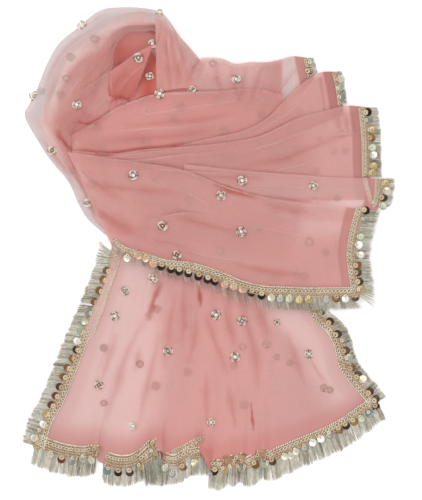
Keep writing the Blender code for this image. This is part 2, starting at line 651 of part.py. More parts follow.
def add_core():
    """The rounded solid of hidden layers, with folded edges showing round its sides."""
    rows, columns = CORE["rows"], CORE["columns"]
    across, down = np.meshgrid(np.linspace(0, 1, columns), np.linspace(0, 1, rows))
    place = patch(CORE, across, down)
    inset = np.minimum(np.minimum(across, 1 - across), np.minimum(down, 1 - down))
    shoulder = 1 - CORE_SHOULDER * (1 - np.clip(inset / CORE_SHOULDER_WIDTH, 0, 1)) ** 2
    top = (heap_floor(place) + LAYER_RISE - WALL / 2 - CORE_TOP_GAP) * shoulder
    top = np.maximum(top, CORE_LOWEST)
    points = raised(place, top).reshape(-1, 3)
    faces = grid_faces(rows, columns)
    edge = rim_of(rows, columns)
    middle = points.mean(axis=0)
    ring = edge
    skin = list(points)
    for level, bulge in CORE_FOLDS:
        start = len(skin)
        for index in edge:
            out = points[index, :2] - middle[:2]
            out = out / np.linalg.norm(out)
            spot = points[index, :2] + out * bulge
            skin.append(np.array([*spot, points[index, 2] * level]))
        lower = list(range(start, start + len(edge)))
        for a, b, c, d in zip(ring, ring[1:] + ring[:1], lower[1:] + lower[:1], lower):
            faces += [(a, b, c), (a, c, d)]
        ring = lower
    faces.append(tuple(ring))
    add_piece("folded_layers", skin, faces, DEEP_LOOK)


def build():
    """Every piece of the stole."""
    for old in list(bpy.data.objects):
        bpy.data.objects.remove(old, do_unlink=True)
    add_core()
    add_turn("turn_loop", TURN_RIM, TURN_STATIONS)
    add_turn("fan_pleats", FAN_RIM, FAN_STATIONS, pleats=FAN_PLEATS)
    add_inner_turn()
    locks = add_sheets() + add_pallu()
    print(f"{locks} locks of fringe")


build()
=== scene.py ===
"""The looks of a sheer net dupatta stole with a gold lace border, folded and laid flat.

Lengths are in millimetres until a mesh is made. Places in the tables are either millimetres from
the middle of the stole or, where a name ends in _SEEN, points across and down the flat picture,
each worth PIXEL millimetres.
"""

from functools import partial

import bpy
import numpy as np
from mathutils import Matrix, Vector
from mathutils.bvhtree import BVHTree

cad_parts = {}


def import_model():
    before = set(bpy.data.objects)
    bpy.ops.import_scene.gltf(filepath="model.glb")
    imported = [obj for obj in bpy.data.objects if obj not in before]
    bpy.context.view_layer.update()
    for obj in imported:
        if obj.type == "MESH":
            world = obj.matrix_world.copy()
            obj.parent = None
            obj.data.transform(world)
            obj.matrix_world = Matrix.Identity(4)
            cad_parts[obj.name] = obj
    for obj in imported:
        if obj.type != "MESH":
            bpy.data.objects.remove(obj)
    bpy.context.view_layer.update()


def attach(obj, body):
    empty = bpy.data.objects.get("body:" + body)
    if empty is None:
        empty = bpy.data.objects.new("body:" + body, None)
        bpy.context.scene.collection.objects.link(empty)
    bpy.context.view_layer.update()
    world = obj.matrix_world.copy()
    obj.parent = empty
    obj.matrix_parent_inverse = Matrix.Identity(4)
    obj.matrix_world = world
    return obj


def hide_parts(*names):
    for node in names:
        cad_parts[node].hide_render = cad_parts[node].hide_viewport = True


MM = 0.001
PIXEL = 1.5
MIDDLE_SEEN = (211.0, 250.0)
SEED = 7

WALL, LOWEST = 1.5, 0.1
LAYER_RISE = 3.0
BRAID_WIDTH = 15.0
HEAP_REACH = 30.0
WELL_PLACE, WELL_RADII, WELL_DEPTH = (-112.0, 272.0), (32.0, 50.0), 18.0

HEAP_COLUMNS = ("x", "y", "height", "layer")
HEAP = (
    (-150, 195, 34, 2), (-80, 225, 36, 2), (-20, 215, 34, 2), (40, 235, 24, 2),
    (-10, 280, 13, 1), (70, 268, 8, 1), (135, 278, 3, 1),
    (160, 250, 7, 3), (190, 235, 5, 3), (110, 200, 16, 3), (60, 172, 24, 3),
    (0, 160, 32, 4), (-100, 145, 38, 4), (130, 150, 16, 4), (190, 150, 9, 4),
    (245, 190, 4, 4), (240, 120, 4, 4), (60, 110, 24, 5), (255, 85, 5, 5), (245, 65, 5, 5),
    (-200, 140, 30, 6), (-185, 90, 24, 6), (-165, 50, 17, 6), (-148, 18, 13, 6),
    (-90, 100, 40, 6), (-90, 40, 30, 6), (-80, 0, 16, 6), (-30, -15, 15, 6),
    (0, 60, 33, 6), (0, 10, 22, 6), (60, 60, 28, 6), (80, -10, 20, 6), (80, -50, 14, 6),
    (130, 60, 21, 6), (150, 0, 16, 6), (150, -50, 13, 6),
    (200, -50, 10, 6), (212, 0, 9, 6), (200, 55, 13, 6),
)

PALLU_LEFT = ((-148, 12), (-153, -17), (-173, -72), (-201, -138), (-222, -192), (-237, -227),
              (-252, -254), (-264, -294))
PALLU_RIGHT = ((146, -36), (156, -75), (165, -96), (186, -116), (197, -138), (206, -170),
               (224, -195), (240, -213), (250, -228))
PALLU_TOP = ((-148, 12), (-100, 16), (-60, 4), (0, -10), (60, -22), (120, -31), (146, -36))
PALLU_HEM = ((-264, -294), (-160, -316), (-60, -322), (30, -320), (100, -308), (180, -276),
             (250, -228))
HEM_COLUMNS = ("x", "y", "height", "lace")
HEM = (
    (-264, -294, 0.8, 1), (-224, -309, 0.8, 1), (-189, -313, 3, 1), (-171, -311, 8, 0),
    (-168, -317, 4, 0), (-162, -320, 1, 2), (-140, -327, 0.8, 2), (-117, -325, 2, 2),
    (-98, -313, 8, 2), (-81, -296, 17, 0), (-72, -304, 13, 0), (-73, -319, 5, 3),
    (-56, -325, 0.8, 3), (-34, -314, 0.8, 3), (-19, -303, 2, 0), (-14, -305, 8, 0),
    (-9, -313, 14, 0), (-5, -324, 12, 0), (-2, -331, 7, 4), (5, -332, 4, 4),
    (13, -333, 5, 4), (20, -331, 4, 4), (27, -324, 6, 4), (34, -328, 3, 4), (44, -321, 6, 4),
    (54, -328, 1, 5), (68, -323, 2, 5), (78, -316, 7, 5), (88, -320, 1.5, 6),
    (104, -312, 0.8, 6), (134, -298, 0.8, 6), (167, -284, 0.8, 6), (201, -266, 0.8, 6),
    (231, -243, 0.8, 6), (250, -228, 1.5, 6),
)
FOLD_FADE, RISE_FADE, FADE_POWER = 60.0, 95.0, 1.5
PLEAT_COLUMNS = ("place", "height", "width", "reach")
PALLU_PLEATS = (
    (0.15, 3, 0.030, 0.35), (0.22, 6, 0.020, 0.55), (0.29, 4, 0.025, 0.45),
    (0.36, 6, 0.022, 0.60), (0.43, 6, 0.020, 0.65), (0.50, 4, 0.025, 0.45),
    (0.57, 6, 0.022, 0.55), (0.64, 4, 0.025, 0.50), (0.72, 5, 0.025, 0.45),
    (0.81, 3, 0.030, 0.35),
)
RIGHT_ROLL, RIGHT_ROLL_WIDTH, RIGHT_ROLL_START, RIGHT_ROLL_FULLNESS = 9.0, 38.0, 0.3, 0.7

SHEETS = {
    "back_sheet": {
        "layer": 1, "laced": "right", "lace": 8, "fringe": 8, "shown": 0.84,
        "top": ((-14, 288), (20, 285), (33, 279), (60, 281), (86, 281), (104, 285), (120, 290),
                (146, 288)),
        "right": ((146, 288), (150, 275), (155, 257)),
        "bottom": ((-36, 236), (10, 222), (60, 212), (100, 218), (135, 236), (155, 257)),
        "left": ((-14, 288), (-25, 262), (-36, 236)),
    },
    "band_roll": {
        "layer": 2, "laced": "", "lace": 0, "fringe": 0, "shown": 0,
        "top": ((-215, 168), (-200, 176), (-180, 186), (-161, 198), (-144, 210), (-126, 218),
                (-111, 224), (-95, 230), (-77, 233), (0, 236), (44, 240), (85, 238), (112, 230)),
        "right": ((112, 230), (102, 208), (80, 182)),
        "bottom": ((-198, 134), (-160, 125), (-100, 128), (0, 142), (80, 182)),
        "left": ((-215, 168), (-207, 150), (-198, 134)),
    },
    "pleat_2": {
        "layer": 3, "laced": "right", "lace": 8, "fringe": 7, "shown": 0.75,
        "top": ((-60, 152), (0, 167), (48, 177), (80, 194), (108, 221), (149, 258), (165, 266),
                (189, 267)),
        "right": ((189, 267), (194, 245), (197, 222), (199, 203)),
        "bottom": ((-62, 128), (0, 135), (72, 148), (134, 174), (199, 203)),
        "left": ((-60, 152), (-62, 128)),
    },
    "pleat_3": {
        "layer": 4, "laced": "right", "lace": 13, "fringe": 18, "shown": 0.75,
        "top": ((-208, 148), (-183, 146), (-135, 144), (-102, 149), (0, 157), (72, 170),
                (134, 198), (168, 207), (203, 216), (233, 214)),
        "right": ((233, 214), (237, 180), (238, 140), (239, 110), (243, 76)),
        "bottom": ((-190, 112), (-100, 106), (0, 92), (100, 80), (180, 74), (243, 76)),
        "left": ((-208, 148), (-199, 130), (-190, 112)),
    },
    "pleat_4": {
        "layer": 5, "laced": "right", "lace": 12, "fringe": 18, "shown": 0.75,
        "top": ((-40, 128), (0, 123), (60, 117), (130, 112), (200, 108), (258, 107)),
        "right": ((258, 107), (257, 88), (253, 68), (244, 51)),
        "bottom": ((-40, 88), (0, 76), (69, 56), (130, 46), (190, 42), (244, 51)),
        "left": ((-40, 128), (-40, 88)),
    },
    "front_drape": {
        "layer": 6, "laced": "right bottom", "lace": 15, "fringe": 23, "shown": 1.0,
        "top": ((-214, 146), (-160, 138), (-110, 130), (-40, 118), (21, 95), (69, 81), (130, 71),
                (190, 65), (231, 60)),
        "right": ((231, 60), (222, 30), (218, 11), (216, -8), (218, -30), (221, -50), (223, -70)),
        "bottom": ((-150, 10), (-135, -3), (-102, -15), (-74, -26), (-33, -33), (6, -46),
                   (39, -61), (78, -70), (111, -71), (144, -72), (180, -71), (223, -70)),
        "left": ((-214, 146), (-190, 95), (-170, 50), (-150, 10)),
    },
}
NARROW_LACE, NARROW_SHARE, HEM_LACE = 9.0, 0.6, 19.0
EDGE_FRINGE, HEM_FRINGE, LEFT_FRINGE, RIGHT_FRINGE = 19.0, 28.0, 21.0, 15.0

RIM_COLUMNS = ("rim_x", "rim_y", "inner_x", "inner_y", "crown", "puff")
TURN_RIM = (
    (-76, 357, -79, 321, 36, 22), (-87, 360, -88, 326, 36, 22), (-102, 362, -97, 324, 40, 26),
    (-135, 363, -124, 322, 42, 30), (-164, 359, -141, 302, 44, 38), (-200, 332, -146, 276, 44, 42),
    (-228, 308, -151, 256, 44, 45), (-245, 279, -154, 238, 44, 45),
    (-260, 242, -150, 220, 42, 45), (-271, 220, -158, 199, 40, 44),
    (-278, 198, -198, 174, 36, 36), (-262, 168, -205, 152, 27, 28),
    (-243, 138, -200, 122, 20, 24), (-213, 101, -178, 84, 14, 20), (-197, 66, -166, 53, 10, 16),
    (-186, 48, -158, 36, 9, 14), (-160, 24, -138, 26, 8, 11),
)
FAN_RIM = (
    (-9, 277, -30, 240, 9, 12), (-24, 294, -44, 241, 16, 22), (-32, 304, -50, 240, 24, 26),
    (-47, 320, -58, 239, 30, 30), (-63, 344, -68, 237, 34, 30), (-74, 355, -76, 236, 36, 26),
    (-83, 358, -81, 236, 36, 22),
)
FAN_PLEATS, FAN_PLEAT_HEIGHT = 4, 1.6
RIM_HALF_HEIGHT, UNDER_ROLL, UNDER_PUFF_SHARE = 0.3, 9.0, 0.45
UNDER_FLAP, UNDER_FLAP_SHARE, TOP_SINKING, TURN_LOWEST = 24.0, 0.6, 1.5, 5.5
INSET_SHARE, PUFF_ROOM, TOP_LEAST, TURN_CREASE_FADE = 0.45, 0.85, 2, 25
FLAP_STATIONS, UNDER_STATIONS, CROWN_STATIONS, TOP_STATIONS = 5, 5, 12, 16

INNER_TURN = {
    "top": ((-151, 265), (-129, 281), (-114, 291), (-93, 303), (-85, 308)),
    "right": ((-85, 308), (-91, 293), (-100, 269), (-109, 247), (-115, 229)),
    "bottom": ((-151, 226), (-140, 229), (-128, 226), (-115, 229)),
    "left": ((-151, 265), (-153, 246), (-151, 226)),
}
INNER_TOP, INNER_BOTTOM = 29.0, 25.8
# The inside of the turn that shows behind that fold
INNER_WALL = {
    "top": ((-150, 327), (-138, 330), (-106, 331), (-72, 326)),
    "right": ((-72, 326), (-78, 312), (-84, 300)),
    "bottom": ((-143, 276), (-124, 284), (-104, 294), (-84, 300)),
    "left": ((-150, 327), (-148, 302), (-143, 276)),
}
WALL_TOP, WALL_BOTTOM = 18.5, 14.5
# Where shade is painted darker in the turn's opening: along a slot, and in two wells of its inner wall,
# each with its width
SHADED_SLOT_SEEN = ((157, 38), (155, 55), (152, 72), (148, 92))
SHADED_WALL_WELLS_SEEN = (((120, 58), 9), ((156, 45), 6))

CORE = {
    "top": ((-205, 280), (-175, 306), (-140, 318), (-100, 318), (-76, 300), (-40, 268),
            (0, 264), (60, 258), (106, 250)),
    "right": ((106, 250), (126, 226), (146, 190), (162, 140), (158, 90), (142, 30), (118, -28.2)),
    "bottom": ((-98, 18.6), (-60, 6.8), (0, -7.2), (60, -19.2), (118, -28.2)),
    "left": ((-205, 280), (-226, 240), (-236, 200), (-218, 160), (-186, 118), (-158, 84),
             (-98, 18.6)),
}
CORE_TOP_GAP, CORE_SHOULDER, CORE_SHOULDER_WIDTH, CORE_LOWEST = 1.4, 0.5, 0.16, 3.0

# The net pieces made, with how each is held and what it rests on, and what is sewn to each sheet
SHEET_PIECES, SEWN = [], {}


def column(table, names, name):
    """One named column of a table, as an array."""
    return np.array([row[names.index(name)] for row in table], float)


def smooth(value):
    """A soft step from 0 to 1."""
    value = np.clip(value, 0, 1)
    return value * value * (3 - 2 * value)


def bump(value, width=1.0):
    """A soft hill that is 1 at 0."""
    return np.exp(-(value / width) ** 2)


def seen(places):
    """Millimetres from the middle of the stole for points of the flat picture."""
    places = np.atleast_2d(np.array(places, float))
    return np.stack([(places[:, 0] - MIDDLE_SEEN[0]) * PIXEL,
                     (MIDDLE_SEEN[1] - places[:, 1]) * PIXEL], axis=-1)


def curve(rows):
    """A smooth curve through the rows, read at places 0..1 along its length."""
    knots = np.array(rows, float)
    steps = np.linalg.norm(np.diff(knots, axis=0), axis=1)
    places = np.concatenate([[0], np.cumsum(steps)]) / steps.sum()
    slopes = np.gradient(knots, places, axis=0)

    def read(place):
        place = np.clip(np.asarray(place, float), 0, 1)
        span = np.clip(np.searchsorted(places, place, side="right") - 1, 0, len(places) - 2)
        width = (places[span + 1] - places[span])[..., None]
        t = (place - places[span])[..., None] / width
        return ((2 * t**3 - 3 * t**2 + 1) * knots[span]
                + (t**3 - 2 * t**2 + t) * width * slopes[span]
                + (3 * t**2 - 2 * t**3) * knots[span + 1]
                + (t**3 - t**2) * width * slopes[span + 1])

    return read


def patch(edges, across, down):
    """Places on a four-sided patch of cloth; across and down run 0..1 over its stations."""
    top, bottom = curve(edges["top"]), curve(edges["bottom"])
    left, right = curve(edges["left"]), curve(edges["right"])
    u, v = across[..., None], down[..., None]
    corners = ((1 - u) * (1 - v) * top(0) + u * (1 - v) * top(1)
               + (1 - u) * v * bottom(0) + u * v * bottom(1))
    return ((1 - v) * top(across) + v * bottom(across)
            + (1 - u) * left(down) + u * right(down) - corners)


def heap_floor(place):
    """Height below the first layer of the heap, with the turn's opening sunk into it."""
    away = np.hypot(place[..., 0, None] - column(HEAP, HEAP_COLUMNS, "x"),
                    place[..., 1, None] - column(HEAP, HEAP_COLUMNS, "y"))
    weight = (1 + (away / HEAP_REACH) ** 2) ** -3
    level = (column(HEAP, HEAP_COLUMNS, "height")
             - LAYER_RISE * column(HEAP, HEAP_COLUMNS, "layer"))
    ground = (weight * level).sum(axis=-1) / weight.sum(axis=-1)
    sunk = np.exp(-((place[..., 0] - WELL_PLACE[0]) / WELL_RADII[0]) ** 2
                  - ((place[..., 1] - WELL_PLACE[1]) / WELL_RADII[1]) ** 2)
    return ground - WELL_DEPTH * sunk


def raised(place, height):
    """Places in the plane with their heights added."""
    return np.concatenate([place, np.broadcast_to(height, place.shape[:-1])[..., None]], axis=-1)


def outward(grid):
    """Unit normals of a grid of points, on the side that faces up where it lies flat."""
    along = np.gradient(grid, axis=1)
    down = np.gradient(grid, axis=0)
    normal = np.cross(along, -down)
    return normal / np.maximum(np.linalg.norm(normal, axis=-1, keepdims=True), 1e-9)


def length_of(rows):
    """Length of an edge."""
    return np.linalg.norm(np.diff(np.array(rows, float), axis=0), axis=1).sum()


def distance_to(place, path):
    """How far places lie from a path of points, on which side, and how far along it."""
    start, end = path[:-1], path[1:]
    run = end - start
    size = (run**2).sum(axis=-1)
    away = place[..., None, :] - start
    share = np.clip((away * run).sum(axis=-1) / size, 0, 1)
    gap = away - share[..., None] * run
    distance = np.linalg.norm(gap, axis=-1)
    nearest = distance.argmin(axis=-1)
    pick = np.expand_dims(nearest, -1)
    side = run[:, 0] * gap[..., 1] - run[:, 1] * gap[..., 0]
    return (np.take_along_axis(distance, pick, -1)[..., 0],
            np.sign(np.take_along_axis(side, pick, -1)[..., 0]),
            (nearest + np.take_along_axis(share, pick, -1)[..., 0]) / len(start))


def grid_faces(rows, columns):
    """Four-sided faces over a grid of points."""
    index = np.arange(rows * columns).reshape(rows, columns)
    return np.stack([index[:-1, :-1], index[1:, :-1], index[1:, 1:], index[:-1, 1:]],
                    axis=-1).reshape(-1, 4)


class Shape:
    """Points, faces and values of a piece while it is put together."""

    def __init__(self):
        self.points, self.faces, self.values, self.count = [], [], {}, 0

    def add(self, points, faces, **values):
        points = np.asarray(points, float).reshape(-1, 3)
        self.faces += (np.asarray(faces) + self.count).tolist()
        self.points.append(points)
        for key, value in values.items():
            spread_out = np.broadcast_to(np.asarray(value, float).reshape(-1), (len(points),))
            self.values.setdefault(key, []).append(spread_out)
        self.count += len(points)

    def place(self, form, origins, axes, shade, change=lambda points: points):
        """Adds a small form at each origin; axes holds its x, y and z directions there."""
        points, faces = form
        placed = origins[:, None, :] + np.einsum("mk,nkj->nmj", points, axes)
        shifted = faces[None] + (np.arange(len(origins)) * len(points))[:, None, None]
        placed, shade = placed.reshape(-1, 3), np.atleast_1d(shade)
        self.add(change(placed), shifted.reshape(-1, faces.shape[-1]),
                 shade=np.repeat(shade, len(placed) // len(shade)))

    def piece(self, name, look, slot):
        mesh = bpy.data.meshes.new(name)
        points = np.concatenate(self.points)
        points[:, 2] = np.maximum(points[:, 2], LOWEST)
        mesh.from_pydata((points * MM).tolist(), [], self.faces)
        for key, parts in self.values.items():
            layer = mesh.attributes.new(key, "FLOAT", "POINT")
            layer.data.foreach_set("value", np.concatenate(parts).astype(np.float32))
        mesh.shade_smooth()
        mesh.materials.append(look)
        made = bpy.data.objects.new(name, mesh)
        bpy.context.scene.collection.objects.link(made)
        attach(made, "root")
        return made


def closed_faces(rings, sides, loop=False):
    """Faces of a tube of rings; a loop's last ring joins its first."""
    ring, side = np.meshgrid(np.arange(rings if loop else rings - 1), np.arange(sides),
                             indexing="ij")
    after, beside = (ring + 1) % rings, (side + 1) % sides
    return np.stack([ring * sides + side, ring * sides + beside, after * sides + beside,
                     after * sides + side], axis=-1).reshape(-1, 4)


def bead(length, width, height, around=6, levels=5):
    """A long bead lying along x."""
    angle = np.linspace(-np.pi / 2, np.pi / 2, levels + 2)[1:-1]
    turn = np.arange(around) * 2 * np.pi / around
    x = np.repeat(np.sin(angle)[:, None], around, axis=1) * length / 2
    y = np.cos(angle)[:, None] * np.cos(turn) * width / 2
    z = np.cos(angle)[:, None] * np.sin(turn) * height / 2
    return np.stack([x, y, z], axis=-1).reshape(-1, 3), closed_faces(levels, around)


def ring(length, width, thick, around, sides):
    """A loop of cord lying flat."""
    turn = np.linspace(0, 2 * np.pi, around, endpoint=False)
    side = np.arange(sides) * 2 * np.pi / sides
    out = np.stack([np.cos(turn), np.sin(turn)], axis=-1)
    middle = out * [length / 2, width / 2]
    xy = middle[:, None, :] + out[:, None, :] * (np.cos(side) * thick / 2)[None, :, None]
    z = np.broadcast_to(np.sin(side) * thick / 2, xy.shape[:2])
    points = np.concatenate([xy, z[..., None]], axis=-1).reshape(-1, 3)
    return points, closed_faces(around, sides, loop=True)


def disc(radius, levels, around=20):
    """A shallow turned form: levels hold a share of the radius and a height each."""
    turn = np.arange(around) * 2 * np.pi / around
    rings = [np.stack([np.cos(turn) * radius * share, np.sin(turn) * radius * share,
                       np.full(around, height)], axis=-1) for share, height in levels]
    return np.concatenate(rings), closed_faces(len(levels), around)[:, ::-1]


NET_HOLES = 0.14
NET_STOPS = ((0.0, (0.58, 0.10, 0.075)), (0.5, (0.79, 0.375, 0.34)), (0.82, (0.88, 0.61, 0.575)),
             (1.0, (0.76, 0.64, 0.63)))
BRAID_STOPS = ((0.0, (0.26, 0.14, 0.07)), (0.3, (0.56, 0.36, 0.22)), (0.55, (0.76, 0.60, 0.38)),
               (1.0, (0.99, 0.93, 0.78)))
FRINGE_STOPS = ((0.0, (0.31, 0.23, 0.16)), (0.35, (0.65, 0.60, 0.48)), (0.6, (0.78, 0.76, 0.65)),
                (0.8, (0.87, 0.80, 0.62)), (1.0, (1.0, 0.99, 0.94)))
CORD_STOPS = ((0.0, (0.20, 0.10, 0.06)), (0.35, (0.50, 0.33, 0.22)), (0.65, (0.84, 0.71, 0.54)),
              (1.0, (1.0, 0.97, 0.90)))
# Painted reflections of the sequins: the colour that each tilted disc shows, from black to gold to
# white, each at its own place on the shade scale
SEQUIN_REFLECTIONS = {
    "black": (0.035, 0.022, 0.016), "dark": (0.10, 0.065, 0.04), "brown": (0.26, 0.14, 0.06),
    "maroon": (0.20, 0.07, 0.05), "grey": (0.36, 0.35, 0.31), "green": (0.50, 0.52, 0.38),
    "gold": (0.58, 0.43, 0.21), "bright": (0.92, 0.81, 0.48), "pink": (0.80, 0.47, 0.37),
    "pale": (0.80, 0.74, 0.60), "white": (0.97, 0.96, 0.92), "teal": (0.22, 0.33, 0.32),
}


def principled(name, colour, roughness, metallic=0.0, **sockets):
    """A new Principled material and its node tree."""
    look = bpy.data.materials.new(name)
    look.use_nodes = True
    shader = look.node_tree.nodes["Principled BSDF"]
    shader.inputs["Base Color"].default_value = (*colour, 1)
    shader.inputs["Roughness"].default_value = roughness
    shader.inputs["Metallic"].default_value = metallic
    for key, value in sockets.items():
        shader.inputs[key.replace("_", " ")].default_value = value
    return look, look.node_tree, shader


def value_of(tree, name):
    """A value kept on the mesh."""
    node = tree.nodes.new("ShaderNodeAttribute")
    node.attribute_name = name
    return node.outputs["Fac"]


def math(tree, operation, first, second):
    """One sum of two values or sockets."""
    node = tree.nodes.new("ShaderNodeMath")
    node.operation = operation
    for socket, given in zip(node.inputs, (first, second)):
        if isinstance(given, (int, float)):
            socket.default_value = given
        else:
            tree.links.new(given, socket)
    return node.outputs[0]


def ramp(tree, source, stops):
    """Colours or greys read along a value."""
    node = tree.nodes.new("ShaderNodeValToRGB")
    while len(node.color_ramp.elements) < len(stops):
        node.color_ramp.elements.new(0.5)
    for element, (place, colour) in zip(node.color_ramp.elements, stops):
        element.position = place
        element.color = (*colour, 1)
    tree.links.new(source, node.inputs["Fac"])
    return node.outputs["Color"]


def texture(tree, kind, scale, output, **settings):
    """A procedural texture laid on the piece's own coordinates, in metres."""
    place = tree.nodes.new("ShaderNodeTexCoord")
    node = tree.nodes.new(kind)
    node.inputs["Scale"].default_value = scale
    for key, value in settings.items():
        node.inputs[key].default_value = value
    tree.links.new(place.outputs["Object"], node.inputs["Vector"])
    return node.outputs[output]


def tinted(tree, colour, source, depth):
    """A colour made a little lighter and darker by a texture."""
    node = tree.nodes.new("ShaderNodeMix")
    node.data_type = "RGBA"
    node.blend_type = "MULTIPLY"
    node.inputs["Factor"].default_value = depth
    tree.links.new(colour, node.inputs["A"])
    tree.links.new(source, node.inputs["B"])
    return node.outputs["Result"]


def relieve(tree, shader, source, strength, distance):
    """Gives a material the fine relief of a texture; the distance is in metres."""
    relief = tree.nodes.new("ShaderNodeBump")
    relief.inputs["Strength"].default_value = strength
    relief.inputs["Distance"].default_value = distance
    tree.links.new(source, relief.inputs["Height"])
    tree.links.new(relief.outputs["Normal"], shader.inputs["Normal"])


def net_look(name, stops):
    """Sheer net: its colour follows the tone kept on the mesh, and its cover the veil."""
    look, tree, shader = principled(name, stops[1][1], 0.75, Sheen_Weight=0.15,
                                    Sheen_Roughness=0.6)
    shader.inputs["Sheen Tint"].default_value = (1.0, 0.86, 0.84, 1)
    shader.inputs["Specular IOR Level"].default_value = 0.2
    colour = ramp(tree, value_of(tree, "tone"), stops)
    cloud = ramp(tree, texture(tree, "ShaderNodeTexNoise", 14.0, "Fac", Detail=4.0),
                 ((0.3, (0.86, 0.86, 0.86)), (0.7, (1.0, 1.0, 1.0))))
    colour = tinted(tree, tinted(tree, colour, cloud, 0.35), value_of(tree, "dim"), 1.0)
    tree.links.new(colour, shader.inputs["Base Color"])
    mesh_holes = texture(tree, "ShaderNodeTexVoronoi", 640.0, "Distance")
    cover = math(tree, "MULTIPLY_ADD", mesh_holes, NET_HOLES)
    cover.node.inputs[2].default_value = 1 - NET_HOLES * 0.45
    density = math(tree, "MULTIPLY", value_of(tree, "veil"), cover)
    tree.links.new(math(tree, "MINIMUM", density, 1.0), shader.inputs["Alpha"])
    relieve(tree, shader, mesh_holes, 0.25, 0.0003)
    return look


def thread_look(name, stops, roughness, metallic, grain=1800.0):
    """Metallic thread whose colour follows the shade kept on the mesh."""
    look, tree, shader = principled(name, stops[0][1], roughness, metallic)
    colour = ramp(tree, value_of(tree, "shade"), stops)
    twist = texture(tree, "ShaderNodeTexNoise", grain, "Fac", Detail=2.0)
    grey = ramp(tree, twist, ((0.35, (0.55, 0.52, 0.48)), (0.65, (1.0, 1.0, 1.0))))
    tree.links.new(tinted(tree, colour, grey, 0.5), shader.inputs["Base Color"])
    relieve(tree, shader, twist, 0.4, 0.0002)
    return look


def reflection_shade(reflection):
    """Where a painted sequin reflection lies on the shade scale."""
    return (list(SEQUIN_REFLECTIONS).index(reflection) + 0.5) / len(SEQUIN_REFLECTIONS)


def sequin_look():
    """Shiny discs with painted reflections, each read from the shade kept on the mesh."""
    steps = len(SEQUIN_REFLECTIONS)
    stops = [((place + 0.5) / steps - 0.5 / steps, colour)
             for place, colour in enumerate(SEQUIN_REFLECTIONS.values())]
    look, tree, shader = principled("sequin", (0.6, 0.5, 0.3), 0.22, 0.85)
    colour = ramp(tree, value_of(tree, "shade"), stops)
    colour.node.color_ramp.interpolation = "CONSTANT"
    cloud = ramp(tree, texture(tree, "ShaderNodeTexNoise", 420.0, "Fac"),
                 ((0.3, (0.7, 0.7, 0.7)), (0.7, (1.0, 1.0, 1.0))))
    tree.links.new(tinted(tree, colour, cloud, 0.4), shader.inputs["Base Color"])
    return look


# Soft creases of each sheet: a path, how far it rises (or sinks) and its width
CREASES_SEEN = {
    "band_roll": (
        (((96, 138), (150, 130), (215, 126), (262, 112)), 2.2, 9),
        (((110, 124), (160, 112), (215, 108), (250, 98)), 1.6, 7),
        (((84, 146), (130, 143), (190, 137), (232, 126)), -1.8, 6),
    ),
    "back_sheet": (
        (((229, 64), (231, 84), (240, 104)), 1.6, 4),
        (((244, 63), (240, 84), (236, 106)), -1.4, 3.5),
        (((262, 62), (256, 84), (250, 104)), 1.8, 4.5),
        (((214, 60), (216, 78), (224, 98)), 1.2, 5),
        (((280, 61), (272, 80), (266, 98)), 1.2, 5),
    ),
    "pleat_2": (
        (((222, 146), (262, 132), (296, 108), (314, 80)), 1.2, 4),
        (((240, 146), (280, 130), (318, 106)), -0.9, 3),
    ),
    "pleat_3": (
        (((92, 158), (150, 160), (215, 154), (268, 144)), 1.4, 6),
        (((110, 166), (170, 168), (240, 160), (300, 138)), -1.2, 5),
        (((130, 172), (200, 174), (262, 170), (310, 160)), 1.0, 5),
        (((232, 160), (290, 150), (345, 128)), 0.8, 7),
        (((330, 112), (335, 150), (338, 190)), 0.8, 4),
    ),
    "pleat_4": (
        (((200, 172), (240, 180), (290, 184), (340, 182)), 0.9, 6),
        (((200, 178), (250, 188), (300, 194)), -0.9, 4),
    ),
    "front_drape": (
        (((80, 168), (130, 182), (190, 192), (240, 206)), 2.0, 6),
        (((78, 176), (120, 194), (170, 208), (222, 222)), -1.8, 5),
        (((86, 188), (130, 206), (180, 224), (230, 236)), 1.8, 6),
        (((92, 200), (130, 220), (170, 238), (210, 250)), -1.5, 5),
        (((98, 208), (132, 232), (176, 252), (206, 262)), 1.6, 5),
        (((150, 180), (200, 196), (250, 210), (300, 218)), -1.2, 6),
        (((210, 206), (250, 222), (300, 232), (336, 236)), 1.1, 8),
        (((190, 226), (236, 250), (280, 262), (330, 262)), 1.2, 8),
        (((240, 268), (290, 276), (338, 274)), -0.8, 5),
        (((120, 176), (160, 184), (206, 188)), 1.2, 4),
        (((214, 192), (240, 198), (262, 203)), -1.5, 3),
    ),
    "turn": (
        (((76, 36), (100, 30), (124, 27), (150, 26)), 2.2, 7),
        (((48, 72), (60, 62), (76, 46), (92, 38)), 1.8, 8),
        (((60, 62), (66, 84), (70, 108), (74, 130)), -1.8, 7),
        (((44, 92), (52, 112), (60, 132)), 1.6, 7),
        (((70, 98), (92, 84), (112, 73)), 2.4, 5),
        (((72, 108), (94, 96), (110, 82)), -2.2, 5),
        (((84, 60), (100, 56), (114, 50)), -1.2, 8),
        (((40, 122), (56, 150), (74, 176)), 1.5, 6),
        (((52, 140), (66, 160), (84, 190)), -1.4, 4),
    ),
}
TURN_REGION = "turn"
# The crumpled layers below: short ridges in several directions
RUMPLE = ((0.055, 0.021, 0.4, 1.3), (-0.033, 0.062, 1.9, 1.1), (0.020, 0.090, 4.1, 0.8),
          (0.085, -0.030, 2.7, 0.6))


def creased(place, region):
    """Rise of a sheet's own soft creases."""
    rise = np.zeros(place.shape[:-1])
    for path, height, width in CREASES_SEEN.get(region, ()):
        away, side, along = distance_to(place, curve(seen(path))(np.linspace(0, 1, 14)))
        width = width * (0.8 + 0.35 * np.sin(5 * along + height))
        ends = np.sin(np.pi * np.clip(along, 0.02, 0.98)) ** 0.6
        rise = rise + height * ends * bump(away, width * np.where(side > 0, 0.7, 1.25))
    return rise


